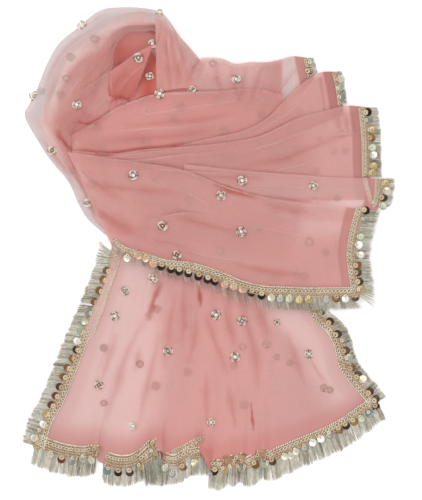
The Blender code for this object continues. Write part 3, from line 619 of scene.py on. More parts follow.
def rumpled(place):
    """Low uneven rise of crumpled layers."""
    rise = np.zeros(place.shape[:-1])
    for across, down, start, height in RUMPLE:
        wave = np.sin(across * place[..., 0] + down * place[..., 1] + start
                      + 1.4 * np.sin(0.02 * place[..., 0] - 0.035 * place[..., 1]))
        rise = rise + height * (1 - np.abs(wave)) ** 2
    return rise


def cover(base, grid):
    """How much a sheer sheet hides, more where it stands steep."""
    steep = np.clip(np.abs(outward(grid)[..., 2]), 0.13, 1)
    return 1 - (1 - np.clip(base, 0, 0.98)) ** (1 / steep)


def add_veiled(shape, grid, veil, tone, dim):
    """A stretch of net on a grid of points, each with its cover, tone and dimness."""
    size = grid.shape[:2]
    shape.add(grid, grid_faces(*size), veil=veil, tone=np.broadcast_to(tone, size),
              dim=np.broadcast_to(dim, size))


def stations(columns, rows, start=0.0, end=1.0, bottom=1.0):
    """Even stations over a patch."""
    return np.meshgrid(np.linspace(start, end, columns), np.linspace(0, bottom, rows))


def sheet_stations(name, pitch=2.5):
    """Fine stations over a stepped layer."""
    sheet = SHEETS[name]
    tall = max(length_of(sheet["left"]), length_of(sheet["right"]))
    return stations(int(length_of(sheet["top"]) / pitch), int(tall / pitch))


def sheet_surface(name, across, down):
    """Points of a stepped layer with its creases."""
    sheet = SHEETS[name]
    place = patch(sheet, across, down)
    height = heap_floor(place) + LAYER_RISE * sheet["layer"] + creased(place, name)
    return raised(place, np.maximum(height, WALL / 2))


def hem_places():
    """Points of the ruffled hem, and where each turn of it starts along its length."""
    points = np.stack([column(HEM, HEM_COLUMNS, name) for name in ("x", "y", "height")], axis=-1)
    lengths = np.linalg.norm(np.diff(points, axis=0), axis=1)
    return points, np.concatenate([[0], np.cumsum(lengths)]) / lengths.sum(), lengths.sum()


def laced_stations(along, corner, lace):
    """Stations whose first and last stretches, as long as corner, cover the lace at each side."""
    return np.where(along < corner, along / corner * lace,
                    np.where(along > 1 - corner, 1 - (1 - along) / corner * lace,
                             lace + (along - corner) / (1 - 2 * corner) * (1 - 2 * lace)))


def pallu_surface(along, down):
    """Points of the lower panel: along runs 0..1 with the ruffled hem, down from its top."""
    points, _, total = hem_places()
    edges = {"top": PALLU_TOP, "bottom": PALLU_HEM, "left": PALLU_LEFT, "right": PALLU_RIGHT}
    tall = length_of(PALLU_LEFT)
    widths = np.linalg.norm(curve(PALLU_RIGHT)(down) - curve(PALLU_LEFT)(down), axis=-1)
    corner = BRAID_WIDTH / total
    across = laced_stations(along, corner, BRAID_WIDTH / widths)
    place = patch(edges, across, down)
    hem = curve(points)(along)
    bottom_width = np.linalg.norm(np.subtract(PALLU_RIGHT[-1], PALLU_LEFT[-1]))
    below = laced_stations(along, corner, BRAID_WIDTH / bottom_width)
    above_hem = (1 - down) * tall
    turned = np.exp(-(above_hem / FOLD_FADE) ** FADE_POWER)
    waved = np.exp(-(above_hem / RISE_FADE) ** FADE_POWER)
    place = place + turned[..., None] * (hem[..., :2] - curve(PALLU_HEM)(below))
    height = np.full(down.shape, WALL / 2)
    for pleat in PALLU_PLEATS:
        middle, rise, width, reach = (pleat[PLEAT_COLUMNS.index(name)] for name in PLEAT_COLUMNS)
        height = height + rise * bump(across - middle, width) * smooth(1 - down / reach)
    height = height + waved * (hem[..., 2] - WALL / 2)
    roll = RIGHT_ROLL * smooth(1 - (1 - across) * widths / RIGHT_ROLL_WIDTH)
    run = np.clip((down - RIGHT_ROLL_START) / (1 - RIGHT_ROLL_START), 0, 1)
    height = height + roll * np.sin(np.pi * run) ** RIGHT_ROLL_FULLNESS
    return raised(place, np.maximum(height, WALL / 2))


def turn_section(at, lining, inset, lower, ripple):
    """One section of the turn: places, heights and how far in each point lies."""
    rim, inner = np.array([at["rim_x"], at["rim_y"]]), np.array([at["inner_x"], at["inner_y"]])
    crown, puff = at["crown"] + ripple - lower, at["puff"]
    inwards = inner - rim
    reach = np.linalg.norm(inwards)
    inwards = inwards / reach
    set_in = min(inset, reach * INSET_SHARE)
    if lining:
        puff = min(puff, (reach - set_in) * PUFF_ROOM)
    half = crown * RIM_HALF_HEIGHT
    under = min(UNDER_ROLL, puff * UNDER_PUFF_SHARE)
    depths, heights = [], []
    if not lining:
        flap_depth = min(UNDER_FLAP, reach * UNDER_FLAP_SHARE)
        for step in np.linspace(flap_depth, under, FLAP_STATIONS + 1)[:-1]:
            depths.append(step)
            heights.append(WALL / 2)
        for angle in np.linspace(np.pi / 2, 0, UNDER_STATIONS + 1)[:-1]:
            depths.append(under * (1 - np.cos(angle)))
            heights.append(half - (half - WALL / 2) * np.sin(angle))
    for angle in np.linspace(0, np.pi / 2, CROWN_STATIONS + 1)[:-1]:
        depths.append(set_in + puff * (1 - np.cos(angle)))
        heights.append(half + (crown - half) * np.sin(angle))
    for step in np.linspace(0, 1, TOP_STATIONS):
        depths.append(set_in + puff + max(reach - puff - set_in, TOP_LEAST) * step)
        floor = heap_floor(rim + depths[-1] * inwards)
        layer = max(floor + LAYER_RISE - lower * 0.5, TURN_LOWEST)
        heights.append(crown + (layer - crown) * smooth(step * TOP_SINKING))
    return raised(rim + np.outer(depths, inwards), np.array(heights)), depths


def turn_surface(rim_table, sections, pleats=0, inset=0.0, lower=0.0):
    """Points of the puffed turn from its flap below to its top's inner end, and how far in each
    lies; a lining is the same form set in and lower, without a flap."""
    read, lining, made = curve(rim_table), inset > 0, []
    for share in np.linspace(0, 1, sections):
        ripple = FAN_PLEAT_HEIGHT * np.cos(2 * np.pi * pleats * share) * bool(pleats)
        made.append(turn_section(dict(zip(RIM_COLUMNS, read(share))), lining, inset, lower, ripple))
    grid, depth = (np.array(rows) for rows in zip(*made))
    first = 0 if lining else FLAP_STATIONS + UNDER_STATIONS + 1
    lift = creased(grid[:, first:, :2], TURN_REGION) * smooth(depth[:, first:] / TURN_CREASE_FADE)
    grid[:, first:, 2] = np.maximum(grid[:, first:, 2] + lift, TURN_LOWEST)
    return grid, depth


# Cover, tone and dimness of each stepped layer, and the darker doubled strip beside its lace
SHEET_LOOKS = {
    "back_sheet": (0.66, 0.62, 0.88), "band_roll": (0.58, 0.50, 0.97),
    "pleat_2": (0.74, 0.50, 0.88), "pleat_3": (0.66, 0.52, 0.92), "pleat_4": (0.60, 0.58, 0.97),
    "front_drape": (0.60, 0.54, 0.98),
}
STRIP_BESIDE_LACE, STRIP_COVER, STRIP_TONE, STRIP_DIM = 13.0, 0.26, 0.15, 0.20
# Where the drape and pleat_4 grow paler, the back layer darker and greyer, and the turn thinner
DRAPE_PALE, PLEAT_4_PALE, BACK_LINING_THIN = ((80, 140), (0, 40)), (50, 110), (100, 110)
BACK_DARK, BACK_GREY = (60, 92, 104, 110), (105, 111, 123, 127)
TURN_SHORT, TURN_FOOT, TURN_FOOT_DEPTH = ((-150, -105), (285, 315)), (-215, -150), (5, 24)
TURN_LININGS = {"turn_lining": (15.0, 4.0, 0.44), "turn_second_lining": (30.0, 7.0, 0.50)}
TURN_SECTIONS, LINING_SECTIONS, FAN_SECTIONS, LINING_PITCH, LINING_LOWEST = 300, 160, 150, 4.0, 0.4
# Looks that change with the depth in from a rim: at the rim, the change, and the depths that it
# starts and ends at
TURN_COVER, TURN_TONE = (0.44, 0.14, 18, 66), (1.0, -0.47, 16, 62)
FAN_COVER, FAN_TONE = (0.64, 0.24, 8, 34), (0.62, -0.17, 6, 44)
LINING_TONE, SHORT_DEPTHS, FAN_RIM_DEPTHS = (0.64, -0.17, 24, 64), (16, 40), (-18, -4)
# Looks of the lower panel along its hem and down it, and of the gathered layer below it
HEM_DARK, LEFT_SIDE, RIGHT_SIDE, PALLU_MIDDLE = (0.82, 0.94), (-0.085, -0.05), (0.915, 0.95), 0.52
GATHER_LEFT, GATHER_RIGHT, GATHER_LOWER = (0.14, 0.10), (0.80, 0.15), (-0.96, -0.88)
# Hidden layers below the front: their edges, cover and how far below the front they lie
LININGS = {
    "drape_lining": (("front_drape", 0.02, 0.965, 0.02, 0.93), 0.56, 2.6),
    "drape_second_lining": (("front_drape", 0.0, 0.955, 0.0, 0.92), 0.45, 5.0),
    "pleat_3_lining": (("pleat_3", 0.0, 0.955, 0.05, 1.0), 0.52, 1.5),
    "pleat_4_lining": (("pleat_4", 0.0, 0.93, 0.05, 1.0), 0.50, 1.2),
    "pleat_2_lining": (("pleat_2", 0.0, 0.955, 0.05, 1.0), 0.45, 1.2),
    "back_lining": (("back_sheet", 0.0, 0.88, 0.03, 1.0), 0.45, 1.5),
}
# What each sheet was cut to: width and length in metres, and the area of its tapered outline
FLATS = {
    "back_sheet": (0.19, 0.062, 0.0115), "band_roll": (0.34, 0.085, 0.027),
    "pleat_2": (0.29, 0.055, 0.013), "pleat_3": (0.47, 0.085, 0.037),
    "pleat_4": (0.31, 0.058, 0.0175), "front_drape": (0.45, 0.155, 0.061),
    "drape_lining": (0.43, 0.145, 0.056), "drape_second_lining": (0.42, 0.14, 0.052),
    "back_lining": (0.17, 0.062, 0.0095), "pleat_4_lining": (0.29, 0.055, 0.0155),
    "pleat_2_lining": (0.28, 0.05, 0.0115),
    "pleat_3_lining": (0.45, 0.08, 0.032), "turn_loop": (0.60, 0.13, 0.045),
    "turn_lining": (0.45, 0.08, 0.022), "turn_second_lining": (0.42, 0.07, 0.019),
    "fan_pleats": (0.15, 0.13, 0.0115), "inner_turn": (0.06, 0.062, 0.0031),
    "inner_wall": (0.075, 0.05, 0.0032),
    "folded_layers": (0.36, 0.35, 0.105), "pallu_panel": (0.60, 0.33, 0.128),
    "pallu_lining": (0.48, 0.29, 0.098),
}


def add_net(name, cloth, grid, density, tone, dim, held="folded", rests_on="folded_layers",
            solid=True):
    """A piece of net, which takes the place of its solid, or a lining that has none."""
    shape = Shape()
    add_veiled(shape, grid, cover(density, grid), tone, dim)
    made = shape.piece("net_" + name, *cloth)
    if solid:
        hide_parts(name)
    SHEET_PIECES.append((made, name, held, [rests_on]))


def faded(value, low, high):
    """0 below low, 1 above high and soft between them."""
    return smooth((value - low) / (high - low))


def deepening(depth, rim, change, start, end):
    """A look that changes with the depth in from a rim."""
    return rim + change * faded(depth, start, end)


def between(value, start, full, fading, end):
    """1 between two soft edges."""
    return faded(value, start, full) * faded(-value, -end, -fading)


def corner_of(grid, across, up):
    """How far a place is past two soft limits."""
    return faded(grid[..., 0], *across) * faded(grid[..., 1], *up)


def add_stepped_layers(net):
    """The stepped layers and what lies hidden below the front."""
    for name, (base, tone, dim) in SHEET_LOOKS.items():
        sheet = SHEETS[name]
        across, down = sheet_stations(name)
        grid = sheet_surface(name, across, down)
        strip, darker, greyer = (np.zeros(across.shape) for _ in range(3))
        if "right" in sheet["laced"]:
            inside = (1 - across) * length_of(sheet["top"]) - sheet["lace"]
            strip = faded(-inside, -STRIP_BESIDE_LACE - 1.5, -STRIP_BESIDE_LACE)
        if "bottom" in sheet["laced"]:
            inside = (1 - down) * length_of(sheet["right"]) - BRAID_WIDTH
            strip = np.maximum(strip, 0.5 * faded(-inside, -5.0, -1.0))
        if name == "back_sheet":
            darker, greyer = between(grid[..., 0], *BACK_DARK), between(grid[..., 0], *BACK_GREY)
        if name == "front_drape":
            darker = -0.8 * corner_of(grid, *DRAPE_PALE) * (1 - strip)
        if name == "pleat_4":
            darker = -0.7 * faded(grid[..., 0], *PLEAT_4_PALE) * (1 - strip)
        add_net(name, net, grid, base + STRIP_COVER * strip + 0.12 * darker + 0.06 * greyer,
                tone - STRIP_TONE * strip - 0.12 * darker + 0.30 * greyer,
                dim - STRIP_DIM * strip - 0.10 * greyer - np.where(darker > 0, 0.12, 0.06) * darker)
    for name, ((like, left, right, top, bottom), base, lower) in LININGS.items():
        across, down = sheet_stations(like, LINING_PITCH)
        grid = sheet_surface(like, left + (right - left) * across, top + (bottom - top) * down)
        grid[..., 2] = np.maximum(grid[..., 2] - lower + 0.7 * rumpled(grid[..., :2]) - 0.7,
                                  LINING_LOWEST)
        edge = np.minimum.reduce([across, 1 - across, down, 1 - down])
        thin = {"front_drape": 0.45 * corner_of(grid, *DRAPE_PALE),
                "pleat_4": 0.7 * faded(grid[..., 0], *PLEAT_4_PALE),
                "back_sheet": 0.6 * faded(grid[..., 0], *BACK_LINING_THIN)}.get(like, 0.0)
        add_net(name, net, grid, base * faded(edge, 0.0, 0.025) * (1 - thin), 0.47, 0.96,
                solid=False)


def add_turn(net):
    """The puffed turn with the soft linings inside its rim, and the fan of pleats beside it."""
    grid, depth = turn_surface(TURN_RIM, TURN_SECTIONS)
    short = corner_of(grid, *TURN_SHORT)
    low = faded(-grid[..., 1], *TURN_FOOT) * faded(depth, *TURN_FOOT_DEPTH)
    depth = depth * (1 + 0.9 * short)
    density = deepening(depth, *TURN_COVER) + 0.20 * low + 0.10 * short * faded(depth, *SHORT_DEPTHS)
    add_net("turn_loop", net, grid, density, deepening(depth, *TURN_TONE) - 0.22 * low, 0.94)
    for name, (inset, lower, base) in TURN_LININGS.items():
        grid, depth = (rows[:, 2:] for rows in turn_surface(
            TURN_RIM, LINING_SECTIONS, inset=inset, lower=lower))
        grid[..., 2] += rumpled(grid[..., :2]) - 1.0
        station = np.linspace(0, 1, LINING_SECTIONS)[:, None]
        edge = faded(depth, inset * 0.6, inset + 24) * between(station, 0.0, 0.01, 0.9, 1)
        add_net(name, net, grid, base * edge, deepening(depth, *LINING_TONE), 0.96, solid=False)
    grid, depth = turn_surface(FAN_RIM, FAN_SECTIONS, pleats=FAN_PLEATS)
    share = np.linspace(0, 1, FAN_SECTIONS)[:, None]
    # Painted highlight: the pleats' ridges, which stand higher, are a little paler
    ridge_highlight = 0.5 + 0.5 * np.cos(2 * np.pi * FAN_PLEATS * share)
    rim = faded(share, 0.5, 1.0) * faded(-depth, *FAN_RIM_DEPTHS)
    add_net("fan_pleats", net, grid, deepening(depth, *FAN_COVER) - 0.16 * rim,
            deepening(depth, *FAN_TONE) + 0.05 * ridge_highlight + 0.34 * rim, 0.86, held="gathered")


def add_inner_layers(deep):
    """The fold inside the turn's opening and the crumpled layers below everything, with painted shade in
    the opening.
    """
    across, down = stations(40, 30)
    place = patch(INNER_TURN, across, down)
    height = INNER_TOP + (INNER_BOTTOM - INNER_TOP) * smooth(down)
    height = height + 1.2 * np.cos(14 * across + 9 * down) * down
    # Painted shade: the fold darkens down into the opening
    add_net("inner_turn", deep, raised(place, height), 0.76, 0.36 - 0.24 * down, 0.92)
    place = patch(INNER_WALL, across, down)
    height = np.maximum(WALL_TOP + (WALL_BOTTOM - WALL_TOP) * smooth(down),
                        heap_floor(place) + LAYER_RISE - 1.2)
    left, right = (bump((place[..., 0] - seen(at)[0, 0]) / width) for at, width in SHADED_WALL_WELLS_SEEN)
    well_shade = np.maximum(left, right) * faded(down, 0.3, 0.7)
    # Painted shade: the inner wall's low tone, lower still in its wells
    add_net("inner_wall", deep, raised(place, height), 0.86, 0.24 - 0.13 * well_shade, 0.97,
            solid=False)
    across, down = stations(130, 120)
    place = patch(CORE, across, down)
    inset = np.minimum.reduce([across, 1 - across, down, 1 - down])
    shoulder = 1 - CORE_SHOULDER * (1 - np.clip(inset / CORE_SHOULDER_WIDTH, 0, 1)) ** 2
    top = (heap_floor(place) + LAYER_RISE - WALL / 2 - CORE_TOP_GAP) * shoulder
    top = np.maximum(top + rumpled(place) - 2.5, CORE_LOWEST)
    well_shade = bump((place[..., 0] - WELL_PLACE[0]) / 30) * bump((place[..., 1] - WELL_PLACE[1]) / 42)
    slot = distance_to(place, seen(SHADED_SLOT_SEEN))[0]
    well_shade = np.maximum(well_shade, bump(slot, 17.0))
    # Painted shade: lower tone and dimness in the well and along the slot
    add_net("folded_layers", deep, raised(place, top), 0.16 + 0.78 * faded(inset, 0.0, 0.075),
            0.46 - 0.46 * well_shade, 1.0 - 0.06 * well_shade, rests_on="pallu_panel")


def add_pallu_net(net):
    """The lower panel, and the gathered second layer in its middle."""
    along, down = stations(380, 130)
    grid = pallu_surface(along, down)
    ripple = 0.5 * np.sin(46 * along + 7 * np.sin(5 * down)) * faded(down, 0.35, 0.8)
    grid[..., 2] = np.maximum(grid[..., 2] + ripple, WALL / 2)
    middle = bump(along - PALLU_MIDDLE, 0.30)
    hem = 0.8 * faded(down, *HEM_DARK)
    sides = faded(-along, *LEFT_SIDE) + faded(along, *RIGHT_SIDE)
    add_net("pallu_panel", net, grid, 0.66 + 0.20 * np.maximum(hem, 0.5 * sides),
            0.62 - 0.12 * middle - 0.26 * hem, 0.78 + 0.20 * middle, "gathered", "table")
    along, down = stations(150, 84, start=0.14, end=0.95, bottom=0.96)
    grid = pallu_surface(along, down)
    grid[..., 2] = np.maximum(grid[..., 2] * 0.55, LINING_LOWEST)
    fan = 0.55 + 0.45 * np.sin(70 * along + 3 * np.sin(9 * along))
    left = GATHER_LEFT[0] + GATHER_LEFT[1] * np.sin(2.2 * down)
    right = GATHER_RIGHT[0] + GATHER_RIGHT[1] * smooth(down / 0.8)
    edge = (faded(along - left, 0.0, 0.16) * faded(right - along, 0.0, 0.12)
            * faded(-down, *GATHER_LOWER))
    add_net("pallu_lining", net, grid, edge * (0.56 + 0.20 * fan * faded(-down, -0.8, -0.1)),
            0.47 - 0.08 * faded(down, 0.6, 0.95), 0.96, "gathered", "table", solid=False)


SHEET_DROOP, HEM_DROOP, LEFT_DROOP = 3.0, 8.0, 1.0
ROPE_PITCH, CHAIN_PITCH, RING_PITCH, LOCK_PITCH = 3.6, 5.7, 13.6, 9.4
THREADS_PER_MM, TOGETHER, SWEEP_WINDOW, STRAND, CORNER_SPREAD = 5.0, 0.4, 31, 2.3, 7.0
SEQUIN_RADIUS, SEQUIN_HANG, RING_ABOVE_SEQUIN = 6.0, 4.6, 4.6
HIDDEN_START = 32.0
HALF_COVERED = ("black", "dark", "brown", "maroon", "pink")
HIDDEN_AT_START = ("front_drape_edge", "pallu_left")
# Painted reflections for sequins where none is known; none leaves out the sequin, not its ring
SPARE_REFLECTIONS = ("grey", "green", "pale", "gold", "green", "none")
SPARE_GAP, LARGE_RING, ALONG_REACH = 0.62, 1.4, 1.5
EDGE_STATIONS, LONG_EDGE_STATIONS, PALLU_EDGE_STATIONS = 160, 400, 300
PALLU_LEFT_START, PALLU_RIGHT_START = 0.04, 0.18

# The braid's knit ground: shares of its width, heights there and what every other row adds
KNIT_PITCH, KNIT_RELIEF = 1.5, 0.16
KNIT_SHARES = np.array([0.06, 0.16, 0.30, 0.42, 0.54, 0.66, 0.80, 0.94])
KNIT_LIFTS = np.array([0.2, 0.9, 0.75, 1.0, 1.1, 1.0, 0.75, 0.5])
# Its rope, chain, crossed threads and edge: share of the width, pitch, form, turn, lift and shade
BRAID_ROWS = (
    (0.09, ROPE_PITCH, bead(4.3, 2.1, 2.2), 0.62, 1.6, 0.94),
    (0.38, CHAIN_PITCH, ring(6.0, 4.0, 1.5, 10, 4), 0.5, 1.8, 0.88),
    (0.64, CHAIN_PITCH / 2, bead(4.4, 1.3, 1.4, 5, 4), -0.9, 1.6, 0.74),
    (0.84, ROPE_PITCH, bead(4.0, 1.6, 1.7, 5, 4), 0.5, 1.4, 0.70),
)
RING_FORM, RING_LIFT, RING_DIM, SMALL_RING_DIM = ring(4.1, 3.6, 2.2, 12, 5), 2.9, 0.32, 0.12
SEQUIN_LEVELS = ((0.12, -0.25), (0.5, -0.2), (0.86, 0.0), (1.0, 0.25), (0.96, -0.1))
SEQUIN_LIFT, SEQUIN_LOWEST, SEQUIN_TUCK, COVERED_TUCK = 1.9, 2.2, 0.5, 2.3

# Stations along a thread of fringe, its thickness there and the corners of its section
FRINGE_STEPS = np.array([-0.12, 0.15, 0.45, 0.75, 1.0])
THREAD_TAPER = np.array([1.0, 1.0, 1.0, 0.9, 0.5])
THREAD_CORNERS = np.array([[1.0, -0.5], [-1.0, -0.5], [0.0, 0.9]])
THREAD_RADII, THREAD_LENGTHS, THREAD_DROPS = (0.17, 0.27), (0.86, 1.03), (0.75, 1.1)
SHORT_THREADS, SHORT_LENGTH, LOCK_LENGTHS, LOCK_LEAN = 0.06, 0.6, 0.04, 0.05
THREAD_SPREAD, STRAND_LEAN, THREAD_WAVE = 0.05, 0.5, 0.5
# The drape's lower edge has thin and short fringe at its start; corners are swept round
THIN_EDGE, THIN_SHARE, THIN_STRETCH = "front_drape_edge", 0.22, (0.60, 0.78)
SHORT_SHARE, SHORT_STRETCH = 0.45, (0.05, 0.35)
SWEPT_AT_START = {"pallu_left": 0.8}
SWEPT_AT_END = {"front_drape_edge": 0.9, "front_drape_end": 0.9}
STRAND_WANDER, LOCK_TURN, LAYERS, LAYER_SHARE, HELD_LIFT = 0.6, 2.4, (-0.6, 0.7), 0.6, 0.35
# Of the next four, the last paints strands that lie higher lighter and lower ones darker (painted
# highlight and painted shade)
THREAD_LOWEST, BETA_SHADES, SHADE_WAVE, HELD_STRAND_LIGHT = 0.35, (1.8, 1.5), 0.12, 0.34

# Short stretches of lace that lie level
SHORT_STATIONS = 60
FACING_UP = np.tile([0.0, 0, 1], (SHORT_STATIONS, 1))


def left_of(ahead):
    """The way to the left of a way across the table."""
    return np.stack([-ahead[:, 1], ahead[:, 0]], axis=-1)


def unit(rows):
    """Rows made one long."""
    return rows / np.maximum(np.linalg.norm(rows, axis=-1, keepdims=True), 1e-9)


class Edge:
    """A laced edge of cloth: its outer line, the way in to the net and the cloth's normal."""

    def __init__(self, outer, inner, normal, fringe, droop):
        steps = np.linalg.norm(np.diff(outer, axis=0), axis=1)
        self.places = np.concatenate([[0], np.cumsum(steps)])
        self.length = self.places[-1]
        self.outer, self.fringe, self.droop = outer, fringe, droop
        self.width = np.linalg.norm(inner - outer, axis=-1)
        self.inward = (inner - outer) / self.width[:, None]
        self.normal = normal
        general = -self.inward.mean(axis=0)
        self.general = general / np.linalg.norm(general)
        window = np.ones(SWEEP_WINDOW) / SWEEP_WINDOW
        padded = np.pad(self.inward, ((SWEEP_WINDOW // 2, SWEEP_WINDOW // 2), (0, 0)), mode="edge")
        self.swept = np.stack([np.convolve(padded[:, k], window, mode="valid") for k in range(3)],
                              axis=-1)

    def at(self, place, rows):
        """One of the edge's lists of three values at places in millimetres along it."""
        return np.stack([np.interp(place, self.places, rows[:, k]) for k in range(3)], axis=-1)

    def read(self, place):
        """Outer point, way in, normal, way along and lace width at places in millimetres."""
        ahead, behind = (self.at(np.clip(place + reach, 0, self.length), self.outer)
                         for reach in (ALONG_REACH, -ALONG_REACH))
        along = unit(ahead - behind)
        inward = self.at(place, self.inward)
        inward = unit(inward - (inward * along).sum(-1, keepdims=True) * along)
        return (self.at(place, self.outer), inward, unit(self.at(place, self.normal)), along,
                np.interp(place, self.places, self.width))


def edge_of(surface, outer, inner, fringe, droop):
    """An edge from a surface and its outer and inner stations, each a pair of across and down."""
    middle = [(a + b) / 2 for a, b in zip(outer, inner)]
    strip = np.stack([surface(*np.broadcast_arrays(*pair)) for pair in (inner, middle, outer)],
                     axis=1)
    normal = unit(np.cross(np.gradient(strip[:, 2], axis=0), strip[:, 2] - strip[:, 0]))
    normal = normal * np.where(normal[:, 2:] < 0, -1, 1)
    return Edge(strip[:, 2], strip[:, 0], normal, fringe, droop)


def lace_edges():
    """Every laced edge by the name that its solids have."""
    edges = {}
    for name, sheet in SHEETS.items():
        surface = partial(sheet_surface, name)
        wide, tall = length_of(sheet["top"]), length_of(sheet["right"])
        share = (wide - sheet["lace"]) / wide
        if "right" in sheet["laced"]:
            fine = np.linspace(0, sheet["shown"], EDGE_STATIONS)
            edges[name + "_end"] = edge_of(surface, (1.0, fine), (share, fine), sheet["fringe"],
                                           SHEET_DROOP)
        if "bottom" in sheet["laced"]:
            fine = np.linspace(0, share, LONG_EDGE_STATIONS)
            band = NARROW_LACE + (BRAID_WIDTH - NARROW_LACE) * smooth(fine / NARROW_SHARE)
            edges[name + "_edge"] = edge_of(surface, (fine, 1.0), (fine, (tall - band) / tall),
                                            EDGE_FRINGE, SHEET_DROOP)
    _, knots, total = hem_places()
    corner = BRAID_WIDTH / total
    for name, start, outer, inner, fringe, droop in (
            ("pallu_left", PALLU_LEFT_START, 0.0, corner, LEFT_FRINGE, LEFT_DROOP),
            ("pallu_right", PALLU_RIGHT_START, 1.0, 1 - corner, RIGHT_FRINGE, RIGHT_ROLL)):
        fine = np.linspace(start, 1, PALLU_EDGE_STATIONS)
        edges[name] = edge_of(pallu_surface, (outer, fine), (inner, fine), fringe, droop)
    lace = column(HEM, HEM_COLUMNS, "lace").astype(int)
    tall = length_of(PALLU_LEFT)
    for stretch in range(1, lace.max() + 1):
        turns = np.flatnonzero(lace[:-1] == stretch)
        fine = np.linspace(knots[turns[0]], knots[turns[-1] + 1], PALLU_EDGE_STATIONS)
        edges[f"hem_{stretch}"] = edge_of(pallu_surface, (fine, 1.0),
                                          (fine, (tall - HEM_LACE) / tall), HEM_FRINGE, HEM_DROOP)
    return edges


def axes_of(along, inward, normal, turn=0.0):
    """Directions for small forms on a braid, turned in its plane."""
    x = along * np.cos(turn) + inward * np.sin(turn)
    y = inward * np.cos(turn) - along * np.sin(turn)
    return np.stack([x, y, normal], axis=1)


def braid_shape(edge, rng):
    """The lace's knit band: a bright rope, a row of chain loops and crossed threads."""
    shape = Shape()
    places = np.arange(0, edge.length, KNIT_PITCH)
    outer, inward, normal, _, width = edge.read(places)
    knit = np.where(np.arange(len(places)) % 2, KNIT_RELIEF, -KNIT_RELIEF)
    inside = (outer[:, None] + inward[:, None] * (width[:, None] * (1 - KNIT_SHARES))[..., None]
              + normal[:, None] * (KNIT_LIFTS + knit[:, None])[..., None])
    shape.add(inside, grid_faces(*inside.shape[:2]),
              shade=rng.uniform(0.04, 0.32, inside.shape[0] * inside.shape[1]))
    for share, pitch, form, turn, lift, shade in BRAID_ROWS:
        places = np.arange(pitch / 2, edge.length, pitch)
        places = places + rng.uniform(-0.08, 0.08, len(places)) * pitch
        outer, inward, normal, along, width = edge.read(places)
        middle = outer + inward * (width * (1 - share))[:, None] + normal * lift
        narrow = np.clip(width / BRAID_WIDTH, 0.55, 1)
        tones = shade + rng.uniform(-0.2, 0.25, len(places))
        shape.place(form, middle, axes_of(along, inward * narrow[:, None], normal, turn),
                    np.clip(tones, 0, 1))
    return shape


def add_solid_lace(kind, name, shape, look, slot):
    """A piece of lace that takes the place of its solid."""
    made = shape.piece(f"{kind}_{name}", look, slot)
    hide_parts(f"{slot}_{name}")
    sew(name, made)


# Lace of other folds that shows from below the net: the sheet above it, its width, how far below
# the upper net it lies and its path
LACE_BELOW_SEEN = (
    ("pleat_2", 4.0, 3.0, ((319, 78), (320, 88), (322, 102), (323, 112))),
    ("pleat_4", 10.0, 2.2, ((360, 179), (362, 187), (365, 198), (367, 206))),
    ("pallu_panel", 11.0, 2.2, ((174, 457), (184, 452), (194, 447), (205, 441.5))),
    ("pallu_panel", 4.0, 6.0, ((113, 270), (106, 294), (98, 316), (92, 332))),
)


def add_lace_below(look, heap):
    """Bands of lace seen faintly through the net over them."""
    rng = np.random.default_rng(SEED + 3)
    for number, (sheet, width, sunk, path) in enumerate(LACE_BELOW_SEEN, 1):
        outer = curve(seen(path))(np.linspace(0, 1, SHORT_STATIONS))
        left = left_of(unit(np.gradient(outer, axis=0)))
        outer = raised(outer, np.maximum(heap.top(outer) - sunk, 0.1))
        edge = Edge(outer, outer + raised(left, 0) * width, FACING_UP, 1.0, 0.0)
        sew(sheet, braid_shape(edge, rng).piece(f"lace_below_{number}", look, "braid"))


def add_rings(shape, edge, places, middles, sizes, rng):
    """Small loops of cord along the lace's outer line, over the sequins' upper rims."""
    outer, inward, normal, along, _ = edge.read(places)
    wide = sizes > 1
    tones = 0.88 + rng.uniform(-0.2, 0.1, len(places)) - RING_DIM * wide
    middle = np.concatenate([middles, outer[:, 2:]], axis=1) + normal * RING_LIFT
    axes = axes_of(along, inward, normal) * sizes[:, None, None]
    shape.place(RING_FORM, middle, axes, tones)
    if wide.any():
        shape.place(RING_FORM, middle[wide], axes[wide] * 0.5, tones[wide] - SMALL_RING_DIM)


def thread_tubes(paths, sides, radii, shade):
    """Thin threads along their paths, finer at their ends."""
    thick = (radii[:, None] * THREAD_TAPER)[..., None]
    tube = paths[:, :, None] + sides[:, None, None] * (thick * THREAD_CORNERS[:, 0])[..., None]
    tube[..., 2] += thick * THREAD_CORNERS[:, 1]
    count, levels, corners = tube.shape[:3]
    faces = closed_faces(levels, corners)
    faces = (faces[None] + (np.arange(count) * levels * corners)[:, None, None]).reshape(-1, 4)
    shape = Shape()
    shape.add(tube, faces, shade=np.repeat(shade, levels * corners))
    return shape


